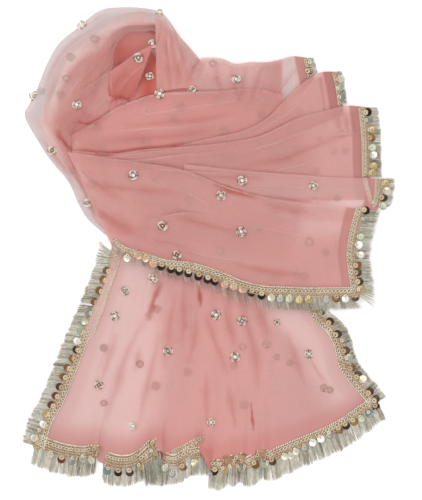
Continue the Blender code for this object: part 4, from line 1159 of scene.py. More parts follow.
def fringe_shape(name, edge):
    """Fine metallic threads hanging in loose locks from below the braid's outer line."""
    rng = np.random.default_rng(SEED + 31 * len(name))
    count = int(edge.length * THREADS_PER_MM)
    place = np.sort(rng.uniform(0, edge.length, count))
    if name == THIN_EDGE:
        full = THIN_SHARE + (1 - THIN_SHARE) * faded(place / edge.length, *THIN_STRETCH)
        place = place[rng.random(count) < full]
        count = len(place)
    outer, _, normal, along, _ = edge.read(place)
    out = unit(-edge.at(place, edge.swept) * (1 - TOGETHER) + edge.general * TOGETHER)
    lock = np.floor(place / LOCK_PITCH)
    centre = (lock + 0.5) * LOCK_PITCH - place
    strand = np.floor((place + STRAND_WANDER * np.sin(place * 0.9)) / STRAND).astype(int)
    held = rng.uniform(-1, 1, strand.max() + 2)[strand]
    uneven = 1 + LOCK_LENGTHS * np.sin(LOCK_TURN * lock)
    reach = edge.fringe * rng.uniform(*THREAD_LENGTHS, count) * uneven
    reach = reach * np.where(rng.random(count) < SHORT_THREADS, SHORT_LENGTH, 1.0)
    spread_out = rng.normal(0, THREAD_SPREAD, count) * edge.fringe
    lean = centre * LOCK_LEAN + spread_out + STRAND_LEAN * held
    if name == THIN_EDGE:
        full = SHORT_SHARE + (1 - SHORT_SHARE) * faded(place / edge.length, *SHORT_STRETCH)
        reach = reach * full
    start, end = np.exp(-place / CORNER_SPREAD), np.exp((place - edge.length) / CORNER_SPREAD)
    lean = lean - SWEPT_AT_START.get(name, 0) * edge.fringe * start
    lean = lean + SWEPT_AT_END.get(name, 0) * edge.fringe * end
    steps = FRINGE_STEPS
    wave = rng.normal(0, THREAD_WAVE, (count, 1)) * np.sin(rng.uniform(0, 6, (count, 1)) + 5 * steps)
    sideways = lean[:, None] * np.clip(steps, 0, 1) ** 1.3 + wave * steps
    path = (outer[:, None] + out[:, None] * (reach[:, None] * steps)[..., None]
            + along[:, None] * sideways[..., None])
    layer = (rng.uniform(*LAYERS, count) * LAYER_SHARE + HELD_LIFT * held)[:, None]
    drop = edge.droop * smooth(steps)[None] * rng.uniform(*THREAD_DROPS, (count, 1))
    path[..., 2] = np.maximum(outer[:, 2:3] + layer - drop, THREAD_LOWEST + 0.4 * (layer + 0.6))
    radii = rng.uniform(*THREAD_RADII, count)
    # Random tone of each thread, plus painted highlight on strands held higher and painted shade on
    # lower ones
    shade = rng.beta(*BETA_SHADES, count) + SHADE_WAVE * np.sin(place / 17) + HELD_STRAND_LIGHT * held
    return thread_tubes(path, unit(np.cross(out, normal)), radii, np.clip(shade, 0, 1))


# Lace of folded ends between the hem's ruffles and over them: the length of its fringe, its height
# and its outer and inner lines
LACE_FOLDED_SEEN = (
    (28.0, 1.2, ((151, 468), (158, 467), (167, 468)), ((151, 452), (158, 450), (167, 452))),
    (26.0, 1.2, ((191, 459), (201, 458), (212, 460)), ((191, 448), (201, 446), (212, 449))),
    (33.0, 11.0, ((143, 465), (151, 461), (161, 455)), ((142, 453), (150, 445), (159, 438))),
)
FOLDED_SINK = 1.5


def add_folded_ends(braid, fringe):
    """Short stretches of lace on the folded ends between the ruffles."""
    for number, (reach, height, *lines) in enumerate(LACE_FOLDED_SEEN, 1):
        outer, inner = (raised(curve(seen(path))(np.linspace(0, 1, SHORT_STATIONS)), height)
                        for path in lines)
        edge = Edge(outer, inner, FACING_UP, reach, max(height - FOLDED_SINK, 0))
        name = f"folded_end_{number}"
        band = braid_shape(edge, np.random.default_rng(SEED + 50 + number))
        sew("pallu", band.piece("lace_" + name, braid, "braid"))
        sew("pallu", fringe_shape(name, edge).piece("fringe_threads_" + name, fringe, "fringe"))


def sew(name, made):
    """Counts a piece with the sheet that it is on, as its name says."""
    sheet = next((sheet for sheet in FLATS if name.startswith(sheet)), "pallu_panel")
    SEWN.setdefault(sheet, []).append(made)


# Round sequins hung along the lace: across, down and the reflection painted on it
SEQUINS_SEEN = (
    (369, 112, "black"), (369, 120, "grey"), (373, 138, "brown"), (374, 155, "white"),
    (374, 166, "gold"), (373, 173, "gold"), (387, 191, "pale"), (385, 198, "dark"),
    (383, 206, "green"), (367, 211, "black"), (365, 220, "grey"), (361, 237, "green"),
    (359, 245, "white"), (361, 255, "pale"), (359, 265, "brown"), (359, 272, "dark"),
    (361, 281, "dark"), (361, 289, "gold"), (355, 299, "dark"),
    (311, 70, "dark"), (341, 79, "pale"), (340, 88, "green"), (342, 97, "grey"),
    (138, 257, "pink"), (145, 260, "pink"), (153, 265, "pink"), (161, 268, "black"),
    (171, 271, "black"), (179, 273, "black"), (188, 275, "black"), (198, 278, "black"),
    (207, 281, "black"), (214, 283, "black"), (224, 286, "pink"), (233, 288, "pink"),
    (242, 291, "pink"), (251, 294, "black"), (261, 297, "black"), (271, 298, "pale"),
    (280, 299, "grey"), (289, 299, "green"), (299, 300, "gold"), (308, 300, "gold"),
    (317, 300, "bright"), (326, 300, "grey"), (336, 300, "brown"), (345, 299, "white"),
    (105, 270, "brown"), (102, 279, "brown"), (98, 290, "brown"), (93, 301, "brown"),
    (88, 312, "grey"), (84, 321, "green"), (81, 331, "green"), (77, 341, "white"), (75, 349, "black"),
    (71, 358, "brown"), (66, 367, "brown"), (62, 376, "brown"), (58, 386, "dark"),
    (54, 395, "maroon"), (50, 404, "maroon"), (46, 413, "gold"), (43, 424, "white"),
    (37, 446, "gold"), (50, 455, "pale"), (61, 461, "maroon"), (72, 461, "grey"),
    (83, 459, "green"), (107, 471, "teal"), (118, 474, "black"), (130, 474, "dark"),
    (141, 467, "gold"), (172, 474, "grey"), (184, 469, "brown"), (195, 463, "bright"),
    (214, 473, "black"), (225, 470, "gold"), (240, 468, "grey"), (256, 466, "brown"),
    (273, 463, "dark"), (285, 457, "pale"), (296, 452, "pale"), (305, 448, "grey"),
    (313, 443, "white"), (321, 439, "white"), (330, 435, "grey"), (340, 431, "brown"),
    (347, 427, "black"), (355, 423, "brown"), (362, 419, "green"), (370, 414, "teal"),
    (377, 408, "black"),
    (331, 320, "dark"), (339, 333, "dark"), (347, 350, "dark"), (353, 366, "brown"),
    (359, 374, "dark"), (371, 390, "dark"), (377, 398, "dark"),
)


def hung_sequins(edges):
    """The known sequins by edge: how far along it each hangs, its place and finish."""
    hung = {name: [] for name in edges}
    for across, down, reflection in SEQUINS_SEEN:
        at = seen((across, down))[0]
        gaps = {name: np.hypot(*(edge.outer[:, :2] - at).T) for name, edge in edges.items()}
        name = min(gaps, key=lambda key: gaps[key].min())
        hung[name].append((edges[name].places[gaps[name].argmin()], at, reflection))
    return {name: sorted(rows, key=lambda row: row[0]) for name, rows in hung.items()}


def spare_sequins(name, edge, known, rng):
    """Evenly spread sequins for the stretches of an edge where none is known."""
    first = HIDDEN_START if name in HIDDEN_AT_START else RING_PITCH / 2
    spare = [at for at in np.arange(first, edge.length - 2, RING_PITCH)
             if all(abs(at - row[0]) > RING_PITCH * SPARE_GAP for row in known)]
    outer, inward, *_ = edge.read(np.array(spare + [0.0]))
    return [(place, start[:2] - way[:2] * SEQUIN_HANG, rng.choice(SPARE_REFLECTIONS))
            for place, start, way in zip(spare, outer, inward)]


def add_sequins(name, edge, known, look, rng):
    """The sequins of one edge, drooping with its fringe."""
    discs = Shape()
    outer, inward, normal, along, _ = edge.read(np.array([row[0] for row in known]))
    for row, (_, at, reflection) in enumerate(known):
        form = disc(SEQUIN_RADIUS * rng.uniform(0.94, 1.04), SEQUIN_LEVELS)
        out = -inward[row, :2] @ (at - outer[row, :2])
        height = outer[row, 2] + SEQUIN_LIFT - edge.droop * smooth(max(out, 0) / edge.fringe)
        tilt = rng.normal(0, 0.09, 2)
        up = unit(normal[row] + along[row] * tilt[0]
                  + inward[row] * (tilt[1] - edge.droop / edge.fringe * 0.8))
        x = unit(along[row] - (along[row] @ up) * up)
        tucked = COVERED_TUCK if reflection in HALF_COVERED else SEQUIN_TUCK
        middle = np.array([[*(at + inward[row, :2] * tucked), max(height, SEQUIN_LOWEST)]])
        discs.place(form, middle, np.stack([x, np.cross(up, x), up])[None], reflection_shade(reflection))
    sew(name, discs.piece("sequins_" + name, look, "braid"))


def add_lace(edges, heap):
    """Braids, fringes, ring loops and sequins."""
    braid = thread_look("braid", BRAID_STOPS, 0.38, 0.45)
    add_lace_below(braid, heap)
    fringe = thread_look("fringe", FRINGE_STOPS, 0.32, 0.6, grain=3000.0)
    add_folded_ends(braid, fringe)
    shine = sequin_look()
    rng = np.random.default_rng(SEED)
    hung = hung_sequins(edges)
    for name, edge in edges.items():
        knit = braid_shape(edge, np.random.default_rng(SEED + len(name)))
        add_solid_lace("braid_strip", name, knit, braid, "braid")
        add_solid_lace("fringe_threads", name, fringe_shape(name, edge), fringe, "fringe")
        known = hung[name] + spare_sequins(name, edge, hung[name], rng)
        if not known:
            continue
        places, shape = np.array([row[0] for row in known]), Shape()
        large = np.array([row[2] in HALF_COVERED for row in known])
        above = RING_ABOVE_SEQUIN + 1.2 * large
        loops = np.array([row[1] for row in known]) + edge.read(places)[1][:, :2] * above[:, None]
        add_rings(shape, edge, places, loops, np.where(large, LARGE_RING, 1.0), rng)
        sew(name, shape.piece("rings_" + name, braid, "braid"))
        add_sequins(name, edge, [row for row in known if row[2] != "none"], shine, rng)


# Profiles of painted shade and highlight across a fold: how far to its left (mm), cover there and
# tone there. An edge paints a shadow to its left, on the layer below, a highlight along it and the
# doubled net beside it; deep and soft paint shade in a crease, pale a highlight, and over is a real
# lapped strip of net
FOLD_SHADING_PROFILES = {
    "edge": ((6.0, 3.0, 1.2, 0.5, -0.7, -3.0, -8.0, -16.0),
             (0.0, 0.12, 0.22, 0.44, 0.38, 0.19, 0.08, 0.0),
             (0.2, 0.15, 0.14, 0.72, 0.72, 0.60, 0.55, 0.5)),
    "deep": ((6.0, 3.0, 0.0, -3.0, -6.0), (0.0, 0.32, 0.66, 0.32, 0.0),
             (0.10, 0.05, 0.0, 0.05, 0.10)),
    "soft": ((8.0, 4.0, 0.0, -4.0, -8.0), (0.0, 0.10, 0.24, 0.10, 0.0),
             (0.30, 0.26, 0.22, 0.26, 0.30)),
    "over": ((9.0, 7.0, 3.0, 0.0, -3.0, -7.0, -9.0), (0.0, 0.42, 0.50, 0.50, 0.50, 0.42, 0.0),
             (0.80, 0.78, 0.76, 0.76, 0.76, 0.78, 0.80)),
    "pale": ((3.2, 1.1, 0.0, -1.1, -3.2), (0.0, 0.19, 0.38, 0.19, 0.0),
             (0.72, 0.75, 0.78, 0.75, 0.72)),
}
# Painted shade and highlight along the folds of each sheet: kind, size and path
FOLD_SHADING_SEEN = {
    "turn_loop": (
        ("edge", 1.0, ((112, 24), (122, 19), (134, 16.5), (148, 16.5), (160, 19))),
        ("edge", 1.2, ((46, 100), (50, 82), (58, 66), (70, 50), (84, 38), (98, 30), (112, 25))),
        ("pale", 0.8, ((76, 36), (88, 27), (100, 19), (112, 14))),
        ("soft", 1.2, ((60, 120), (62, 100), (68, 84), (80, 68), (96, 56))),
        ("soft", 1.0, ((44, 130), (48, 112), (54, 92), (64, 74))),
        ("soft", 1.1, ((80, 52), (94, 44), (108, 38))),
        ("pale", 0.8, ((66, 112), (72, 94), (84, 78), (98, 66))),
        ("edge", 0.8, ((73, 96.5), (90, 87.5), (96.4, 83.2), (104.4, 76.4), (113, 70))),
        ("pale", 0.6, ((108.3, 99.5), (94.8, 110), (84, 118), (76, 124))),
        ("pale", 0.6, ((112, 72), (112, 86), (113, 98))),
        ("soft", 1.6, ((70, 119), (84, 124.5), (94, 124), (103, 119), (112, 111))),
        ("deep", 0.6, ((78, 122.5), (88, 124.5), (96, 122.5), (106, 116))),
        ("soft", 1.4, ((80, 110), (88, 116), (96, 119))),
        ("deep", 0.8, ((57, 131), (61, 138), (66, 144), (72, 151))),
        ("pale", 0.6, ((62, 128), (70, 138), (82, 147))),
        ("soft", 1.0, ((40, 136), (52, 152), (64, 170), (76, 190))),
        ("pale", 0.7, ((45, 140), (56, 156), (70, 176), (82, 198))),
    ),
    "inner_turn": (
        ("pale", 0.7, ((112, 70.8), (125, 62.8), (134.7, 55.7), (141.8, 50.9), (149, 47.7), (154, 45))),
        ("pale", 0.7, ((119.5, 91.6), (125.9, 82.8), (134.7, 73.2), (141, 68.4), (146, 64))),
        ("pale", 0.5, ((134.7, 94.7), (138.6, 85.2), (144.2, 70.8), (150.2, 55.5))),
        ("soft", 0.8, ((114, 88), (120, 80), (130, 72))),
    ),
    "folded_layers": (
        ("soft", 1.4, ((110, 108), (117, 102.5), (125, 101), (134, 102))),
        ("deep", 0.8, ((109, 105), (116, 99.5), (123, 98.5), (132, 102))),
        ("soft", 0.9, ((112, 106), (120, 107), (128, 105))),
        ("deep", 0.6, ((136, 101), (144, 98), (156, 94))),
        ("soft", 0.4, ((118, 98), (117, 103), (115, 108))),
        ("soft", 0.4, ((123, 100), (122, 104), (120, 107))),
    ),
    "band_roll": (
        ("edge", 1.0, ((91, 126), (104, 118), (115, 110.5), (127, 105.5), (137, 101.5), (148, 97.5),
                       (160, 95.5), (185, 94), (211, 93.5), (240, 91))),
        ("pale", 0.9, ((130, 120), (170, 112), (210, 106), (245, 100))),
        ("soft", 1.0, ((120, 128), (160, 124), (205, 120), (240, 112))),
        ("soft", 1.3, ((100, 142), (140, 139), (180, 136), (215, 132))),
        ("pale", 0.8, ((96, 136), (130, 131), (180, 128), (220, 121))),
    ),
    "front_drape": (
        ("deep", 0.8, ((72, 150), (84, 151), (103, 154.5), (129, 151), (167, 147.4), (193, 143.5))),
        ("edge", 1.0, ((58, 142), (72, 151), (89, 154), (104, 157), (121, 156.5), (150, 152.5),
                       (193, 147), (211, 144.5), (228, 142))),
        ("edge", 0.8, ((80, 153), (106, 160), (136, 161), (165, 158), (193, 154), (228, 152))),
        ("edge", 0.7, ((113, 162), (146, 167), (167, 170.6), (190, 172), (213, 173), (240, 174),
                       (263, 174.4))),
        ("soft", 0.8, ((196, 177), (225, 178), (263, 179))),
        ("pale", 0.8, ((190, 176), (205, 180), (222, 187))),
        ("deep", 1.0, ((212, 183.5), (222, 187.5), (232, 191), (244, 195), (257, 197))),
        ("pale", 0.6, ((224, 185.5), (233, 185.5), (252, 188.5), (271, 191))),
        ("soft", 1.0, ((92, 184), (110, 187), (146, 191), (180, 194))),
        ("soft", 1.6, ((90, 203), (110, 220), (133, 234), (150, 240))),
        ("soft", 2.2, ((96, 208), (116, 222), (140, 229), (152, 228))),
        ("edge", 1.0, ((144, 220), (167, 215.7), (198, 214), (208, 217))),
        ("soft", 1.0, ((150, 240), (176, 245), (198, 255))),
        ("pale", 0.8, ((176, 247), (213, 257), (244, 261))),
        ("soft", 1.3, ((73, 165), (90, 178), (108, 192), (124, 204))),
        ("pale", 0.8, ((68, 158), (84, 170), (100, 182), (118, 194))),
        ("pale", 0.7, ((78, 188), (92, 200), (110, 212), (128, 222))),
        ("pale", 0.7, ((130, 176), (160, 184), (196, 198), (226, 214))),
        ("soft", 1.2, ((262, 204), (290, 210), (320, 214))),
        ("pale", 1.0, ((250, 224), (280, 232), (320, 236))),
        ("soft", 1.2, ((230, 262), (270, 272), (310, 275))),
        ("soft", 1.2, ((160, 208), (196, 222), (240, 234))),
    ),
    "pleat_2": (
        ("pale", 0.8, ((238, 138), (268, 126), (296, 106), (314, 88))),
    ),
    "pleat_3": (
        ("pale", 0.8, ((230, 156), (262, 148), (300, 134), (340, 118))),
        ("soft", 1.0, ((240, 166), (280, 160), (316, 146), (346, 134))),
        ("pale", 0.8, ((250, 176), (290, 168), (330, 156))),
        ("edge", 0.7, ((361, 135.5), (350, 134.5), (338, 135.5), (328, 138))),
        ("soft", 0.8, ((337, 112), (338, 124), (340, 134))),
        ("soft", 0.7, ((345, 111), (346, 122), (348, 134))),
        ("pale", 0.7, ((341, 112), (342, 123), (344, 134))),
        ("soft", 0.6, ((353, 110), (354, 122), (356, 134))),
    ),
    "pleat_4": (
        ("pale", 0.7, ((230, 184), (270, 186), (310, 188), (350, 186))),
        ("soft", 0.8, ((260, 196), (300, 200), (344, 200))),
    ),
    "back_sheet": (
        ("edge", 0.9, ((187, 84.5), (190, 79), (197, 66), (201.5, 59))),
        ("soft", 1.0, ((230, 67), (233, 84), (240, 104))),
        ("pale", 0.8, ((236, 67), (238, 84), (243, 104))),
        ("soft", 1.0, ((246, 66), (243, 84), (239, 108))),
        ("soft", 1.1, ((262, 65), (256, 84), (250, 106))),
        ("pale", 0.8, ((270, 65), (262, 82), (254, 102))),
        ("soft", 0.9, ((216, 63), (217, 78), (224, 98))),
        ("pale", 0.8, ((208, 62), (206, 74), (204, 90))),
        ("edge", 0.6, ((303, 62), (294, 72), (284, 84), (272, 98))),
    ),
    "fan_pleats": (
        ("edge", 0.7, ((157, 91), (157, 87), (155.8, 64.4), (157.8, 52.5), (161, 33), (162, 20))),
        ("soft", 0.7, ((170, 92), (168, 70), (166, 48), (166, 28))),
        ("edge", 0.5, ((172, 92), (170.5, 70), (168, 48), (166.5, 26))),
        ("soft", 0.7, ((178, 90), (177, 72), (173, 50), (170, 30))),
        ("edge", 0.5, ((183, 88), (180, 70), (175.5, 50), (171.5, 30))),
        ("soft", 0.6, ((188, 82), (185, 66), (180, 48), (174, 32))),
        ("pale", 0.4, ((193, 70), (188, 57), (181, 44), (172, 28), (164, 20))),
        ("pale", 0.4, ((196, 62), (190, 52), (183, 41.5), (174, 26))),
    ),
    "pallu_panel": (
        ("deep", 1.1, ((162, 281), (156, 294), (152, 306), (148, 322))),
        ("soft", 1.2, ((150, 315), (136, 335), (124, 362), (114, 395), (105, 421))),
        ("soft", 1.0, ((139, 345), (138, 358), (134, 372))),
        ("deep", 0.7, ((199, 286), (200, 296), (201, 308))),
        ("soft", 1.0, ((204, 310), (213, 336), (222, 358), (228, 376))),
        ("soft", 1.0, ((196, 316), (194, 340), (188, 366))),
        ("soft", 1.4, ((176, 288), (172, 310), (168, 340), (164, 372))),
        ("soft", 1.2, ((184, 290), (184, 316), (182, 345))),
        ("pale", 1.0, ((190, 292), (189, 320), (187, 350))),
        ("soft", 1.2, ((222, 296), (228, 322), (236, 352))),
        ("pale", 1.0, ((212, 294), (219, 322), (229, 354))),
        ("soft", 1.3, ((240, 300), (248, 328), (256, 360), (258, 392))),
        ("soft", 1.6, ((256, 304), (262, 318), (270, 338))),
        ("pale", 1.6, ((266, 352), (270, 372), (276, 398))),
        ("deep", 0.45, ((251, 401), (252, 415), (254, 433))),
        ("soft", 0.6, ((309, 358), (318, 372), (326, 384))),
        ("over", 0.78, ((121, 243), (117, 256), (112.5, 270), (107.5, 285), (102, 300), (96, 315),
                        (90, 330), (84, 345))),
        ("soft", 1.0, ((118, 330), (108, 360), (98, 392))),
        ("pale", 1.1, ((122, 300), (112, 332), (100, 366), (92, 398))),
        ("soft", 1.1, ((160, 330), (152, 366), (144, 400), (138, 430))),
        ("soft", 1.0, ((206, 372), (206, 400), (208, 428))),
        ("pale", 1.2, ((176, 352), (170, 386), (164, 416))),
        ("soft", 1.0, ((228, 384), (232, 408), (236, 430))),
        ("soft", 1.1, ((286, 330), (296, 360), (306, 390))),
    ),
}
# The last of these dims the painted shade and highlight strips a little; below, the lapped strip's
# dimness is above 1, which paints it lighter than the net
FOLD_LIFT, FOLD_PITCH, FOLD_LEAST, FOLD_SHADING_DIM = 0.45, 3.0, 8, 0.95
LAPPED_LIFT, LAPPED_LIGHTENING, TOP_FOLD_SIZE = 4.0, 1.16, 0.8


class Heap:
    """The finished net pieces together, read from straight above."""

    def __init__(self, pieces):
        points, faces, count = [], [], 0
        for made in pieces:
            mesh = made.data
            flat = np.empty(len(mesh.vertices) * 3, np.float32)
            mesh.vertices.foreach_get("co", flat)
            points.append(flat.reshape(-1, 3) / MM)
            faces += [[count + v for v in face.vertices] for face in mesh.polygons]
            count += len(mesh.vertices)
        self.tree = BVHTree.FromPolygons(np.concatenate(points).tolist(), faces)

    def top(self, places):
        """Heights of the highest net at places across the table."""
        down = Vector((0, 0, -1))
        heights = []
        for x, y in places.reshape(-1, 2):
            hit = self.tree.ray_cast(Vector((x, y, 150)), down)[0]
            heights.append(hit.z if hit else 0.3)
        return np.array(heights).reshape(places.shape[:-1])


def add_fold_shading(shape, heap, path, kind, size, rng):
    """A folded edge or crease as painted shade or highlight: a soft strip of net lying on what is below
    it.
    """
    offsets, veils, tones = (np.array(values) for values in FOLD_SHADING_PROFILES[kind])
    line = curve(path)
    along = np.linspace(0, 1, max(int(length_of(path) / FOLD_PITCH), FOLD_LEAST))
    ahead = unit(line(np.clip(along + 0.01, 0, 1)) - line(np.clip(along - 0.01, 0, 1)))
    uneven = 1 + 0.25 * np.sin(9 * along + rng.uniform(0, 6)) + 0.12 * np.sin(23 * along)
    wander = 0.35 * np.sin(17 * along + rng.uniform(0, 6))
    reach = offsets[None] * size * uneven[:, None] + wander[:, None]
    place = line(along)[:, None] + left_of(ahead)[:, None] * reach[..., None]
    height = heap.top(place)
    soft = (height + np.roll(height, 1, 0) + np.roll(height, -1, 0)) / 3
    soft[[0, -1]] = height[[0, -1]]
    lapped = kind == "over"
    lift = FOLD_LIFT + rng.uniform(0, 0.3) + LAPPED_LIFT * lapped
    ends = np.sin(np.pi * np.clip(along, 0.001, 0.999)) ** 0.7
    veil = veils[None] * ends[:, None] * (0.8 + 0.3 * uneven[:, None] - 0.1)
    add_veiled(shape, raised(place, np.maximum(soft, height) + lift), veil, tones,
              LAPPED_LIGHTENING if lapped else FOLD_SHADING_DIM)


def add_all_fold_shading(net, heap):
    """The painted shade and highlight of every fold, in one piece for each sheet that it is on."""
    rng = np.random.default_rng(SEED + 1)
    for name, folds in FOLD_SHADING_SEEN.items():
        shape = Shape()
        for kind, size, path in folds:
            add_fold_shading(shape, heap, seen(path), kind, size, rng)
        if name in SHEETS:
            top = np.array(SHEETS[name]["top"], float)
            # Each sheet's top edge: a painted shadow on the layer beside it and a painted highlight
            # along it
            add_fold_shading(shape, heap, top, "edge", TOP_FOLD_SIZE, rng)
        sew(name, shape.piece("net_fold_shading_" + name, net, "net"))


# Roundels of coiled gold and silver cord: across, down and size
ROUNDELS_SEEN = (
    (83, 27, 1.0), (35, 97, 1.0), (160, 14, 0.7), (153, 45, 0.9), (139, 59, 1.0), (160, 95, 1.0),
    (193, 90, 0.6), (78, 106, 0.9), (134, 176, 1.0), (163, 226, 1.0), (88, 203, 0.9),
    (236, 80, 0.9), (242, 181, 1.0), (241, 232, 1.0), (221, 196, 1.0), (313, 186, 0.9),
    (125, 291, 0.9), (153, 278, 1.0), (115, 316, 0.9), (168, 351, 1.0), (99, 385, 0.9),
    (216, 315, 1.0), (242, 321, 1.0), (235, 357, 1.0), (309, 354, 0.9), (211, 422, 0.8),
    (277, 322, 0.6), (53, 151, 0.9), (177, 255, 0.9), (150, 77, 0.8),
)
ROUNDELS_BELOW_SEEN = (
    (98, 129, 0.9), (146, 142, 0.9), (148, 163, 0.9), (157, 180, 0.7),
    (92, 185, 0.9), (72, 171, 0.8), (190, 201, 0.9), (179, 208, 0.9), (103, 215, 0.8),
    (96, 41, 0.9), (72, 59, 0.8), (68, 80, 0.8), (62, 96, 0.8), (42, 92, 0.7), (117, 43, 0.8),
    (103, 149, 0.7), (181, 108, 0.9), (174, 119, 0.8), (153, 32, 0.8),
    (213, 64, 0.8), (216, 82, 0.9), (224, 132, 0.9), (231, 165, 0.9), (274, 198, 0.8),
    (272, 155, 0.9), (295, 151, 0.8), (287, 159, 0.8), (315, 171, 0.8), (295, 206, 0.5),
    (272, 210, 0.8), (337, 198, 0.7), (255, 228, 0.9), (309, 242, 0.9), (261, 115, 0.8),
    (299, 112, 0.8), (259, 142, 0.8), (157, 309, 0.9), (188, 325, 0.9), (156, 386, 0.9), (188, 372, 0.9),
    (140, 364, 0.8), (104, 348, 0.8), (104, 403, 0.7),
    (234, 366, 0.8), (243, 347, 0.8), (267, 344, 0.9), (324, 388, 0.8), (330, 390, 0.7),
    (244, 405, 0.9), (220, 251, 0.8), (325, 252, 0.8), (271, 281, 0.9), (304, 276, 0.8),
    (290, 363, 0.7), (277, 357, 0.6),
)
ROUNDELS_PALE_SEEN = (
    (319, 139, 0.7), (333, 151, 0.9), (346, 151, 0.9), (342, 137, 0.5), (147, 112, 0.8),
    (133, 426, 0.9),
)
ROUNDEL_WIDTH, BELOW_PALLU, PRESSED = 16.5, 2.4, 0.35
FOOTPRINT = np.array([(0, 0), (7, 0), (-7, 0), (0, 7), (0, -7), (5, 5), (-5, 5), (5, -5),
                      (-5, -5.0)])
# Each group's table, how far it is sunk into the net, how bright it is and how flat it is pressed
ROUNDEL_GROUPS = {
    "above": (ROUNDELS_SEEN, -0.5, 0.68, 1.0), "pale": (ROUNDELS_PALE_SEEN, 2.4, 1.2, 1.0),
    "below": (ROUNDELS_BELOW_SEEN, 1.3, 0.05, PRESSED),
}
COILS = ((0.84, 1.5, 0.6), (0.56, 1.4, 0.9))
COIL_STATIONS, COIL_SIDES, PETALS, BEAD_LIGHTER, BEAD_LIGHTEST = 22, 5, 9, 0.3, 0.95
ROUNDEL_LEVELS = ((0.15, 0.1), (0.6, 0.15), (1.0, 0.4), (0.95, 0.1))


def add_roundel(cords, discs, place, height, size, rng, bright, flat):
    """Two coils of cord around a small sequin and a bead, lying on the net or pressed below it."""
    def pressed(points):
        return points * [1, 1, flat] + [0, 0, height * (1 - flat)]

    tilt = rng.normal(0, 0.06, 2)
    up, x = unit(np.array([tilt[0], tilt[1], 1.0])), unit(np.array([1.0, 0.0, -tilt[0]]))
    axes = np.stack([x, np.cross(up, x), up])[None]
    middle = np.array([[*place, height]])
    wide = ROUNDEL_WIDTH * size
    around = np.repeat(np.arange(COIL_STATIONS), COIL_SIDES) * 2 * np.pi / COIL_STATIONS
    for share, thick, lift in COILS:
        squeeze = rng.uniform(0.9, 1.0)
        form = ring(wide * share, wide * share * squeeze, thick, COIL_STATIONS, COIL_SIDES)
        glint = np.sin(around * rng.integers(2, 5) + rng.uniform(0, 6))
        tones = bright + 0.55 * np.sign(glint) * np.abs(glint) ** 0.5 + rng.uniform(-0.15, 0.15)
        cords.place(form, middle + [0, 0, lift], axes, np.clip(tones, 0, 1), pressed)
    turn = np.arange(PETALS) * 2 * np.pi / PETALS + rng.uniform(0, 1)
    out = np.stack([np.cos(turn), np.sin(turn), np.zeros(PETALS)], axis=-1)
    side = np.stack([-out[:, 1], out[:, 0], out[:, 2]], axis=-1)
    tones = np.clip(bright + rng.uniform(-0.3, 0.4, PETALS), 0, 1)
    cords.place(bead(wide * 0.15, 1.6, 1.4, 5, 3), middle + out * wide * 0.35 + [0, 0, 1.0],
                np.stack([out, side, np.tile([0, 0, 1.0], (PETALS, 1))], axis=1), tones, pressed)
    # The middle sequin's painted reflection
    reflection = rng.choice(["white", "white", "pale", "grey", "brown"])
    discs.place(disc(wide * 0.17, ROUNDEL_LEVELS, 14), middle + [0, 0, 1.2], axes,
                reflection_shade(reflection), pressed)
    cords.place(bead(wide * 0.14, wide * 0.14, wide * 0.1, 7, 4), middle + [0, 0, 1.9], axes,
                min(BEAD_LIGHTEST, bright + BEAD_LIGHTER), pressed)


def add_roundels(heap):
    """Roundels on the upper net, and those that show faintly from below it."""
    cord = thread_look("dori", CORD_STOPS, 0.3, 0.5)
    shine = sequin_look()
    rng = np.random.default_rng(SEED + 2)
    for group, (table, sunk, bright, flat) in ROUNDEL_GROUPS.items():
        shapes = {}
        on_pallu = [down > 300 or (down > 270 and across < 190) for across, down, _ in table]
        at = seen([row[:2] for row in table])
        around = heap.top(at[None] + FOOTPRINT[:, None])
        height = around.min(axis=0) if sunk > 0 else (around.max(axis=0) + around[0]) / 2
        deeper = BELOW_PALLU * np.array(on_pallu) * (group == "below")
        height = np.maximum(height - sunk - deeper, 0.2)
        for row, place, level, low in zip(table, at, height, on_pallu):
            sheet = "pallu_panel" if low else "front_drape"
            made = shapes.setdefault(sheet, (Shape(), Shape()))
            add_roundel(*made, place, level, row[2], rng, bright, flat)
        for sheet, (cords, discs) in shapes.items():
            sew(sheet, cords.piece(f"roundels_{group}_{sheet}", cord, "braid"))
            sew(sheet, discs.piece(f"roundel_sequins_{group}_{sheet}", shine, "braid"))


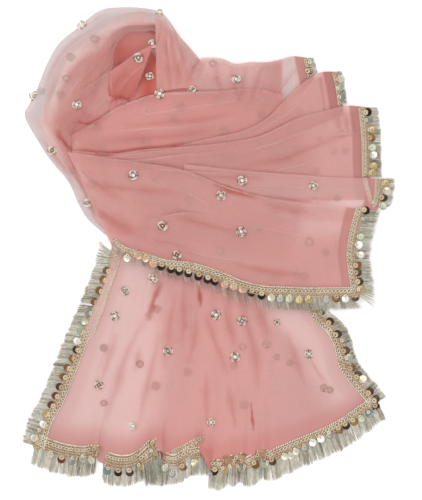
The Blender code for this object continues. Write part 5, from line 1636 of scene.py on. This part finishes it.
TABLE_DROP, TABLE_GLOW, SKY_STRENGTH = -0.0004, 0.25, 0.75
CAMERA_HEIGHT, SENSOR, VIEW_TALL, HALF_TABLE, SHEETS_SEEN_THROUGH = 4.0, 36.0, 750.0, 3.0, 32
LIGHTS = (
    ("key", (-0.9, 0.9, 1.6), 1.4, 12.0, (0.0, 0.1, 0.0)),
    ("fill", (1.0, -0.8, 1.8), 1.6, 7.0, (0.0, 0.0, 0.0)),
)


def add_stage():
    """A plain pale table, soft light from above and the camera straight over the stole."""
    scene = bpy.context.scene
    mesh = bpy.data.meshes.new("table")
    corners = ((-1, -1), (1, -1), (1, 1), (-1, 1))
    mesh.from_pydata([(x * HALF_TABLE, y * HALF_TABLE, TABLE_DROP) for x, y in corners], [],
                     [(0, 1, 2, 3)])
    look, _, shader = principled("table", (0.93, 0.93, 0.93), 0.9)
    shader.inputs["Emission Color"].default_value = (1, 1, 1, 1)
    shader.inputs["Emission Strength"].default_value = TABLE_GLOW
    mesh.materials.append(look)
    table = bpy.data.objects.new("table", mesh)
    scene.collection.objects.link(table)
    for name, place, size, power, aim in LIGHTS:
        lamp = bpy.data.lights.new(name, "AREA")
        lamp.size, lamp.energy = size, power
        made = bpy.data.objects.new(name, lamp)
        made.location = place
        made.rotation_euler = (Vector(aim) - Vector(place)).to_track_quat("-Z", "Y").to_euler()
        scene.collection.objects.link(made)
    scene.world = scene.world or bpy.data.worlds.new("studio")
    scene.world.use_nodes = True
    sky = scene.world.node_tree.nodes["Background"]
    sky.inputs["Color"].default_value = (1, 1, 1, 1)
    sky.inputs["Strength"].default_value = SKY_STRENGTH
    camera = bpy.data.objects.new("camera", bpy.data.cameras.new("camera"))
    camera.location = (0, 0, CAMERA_HEIGHT)
    camera.data.sensor_width = SENSOR
    camera.data.lens = SENSOR * CAMERA_HEIGHT / (VIEW_TALL * MM)
    scene.collection.objects.link(camera)
    scene.camera = camera
    scene.view_settings.view_transform = "Standard"
    scene.cycles.transparent_max_bounces = SHEETS_SEEN_THROUGH


def main():
    """The whole scene."""
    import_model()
    net = net_look("net", NET_STOPS), "net"
    deep = net_look("net_deep", NET_STOPS), "net_deep"
    add_stage()
    add_inner_layers(deep)
    add_turn(net)
    add_stepped_layers(net)
    add_pallu_net(net)
    heap = Heap([made for made, *_ in SHEET_PIECES])
    add_all_fold_shading(net[0], heap)
    add_roundels(heap)
    add_lace(lace_edges(), heap)


main()
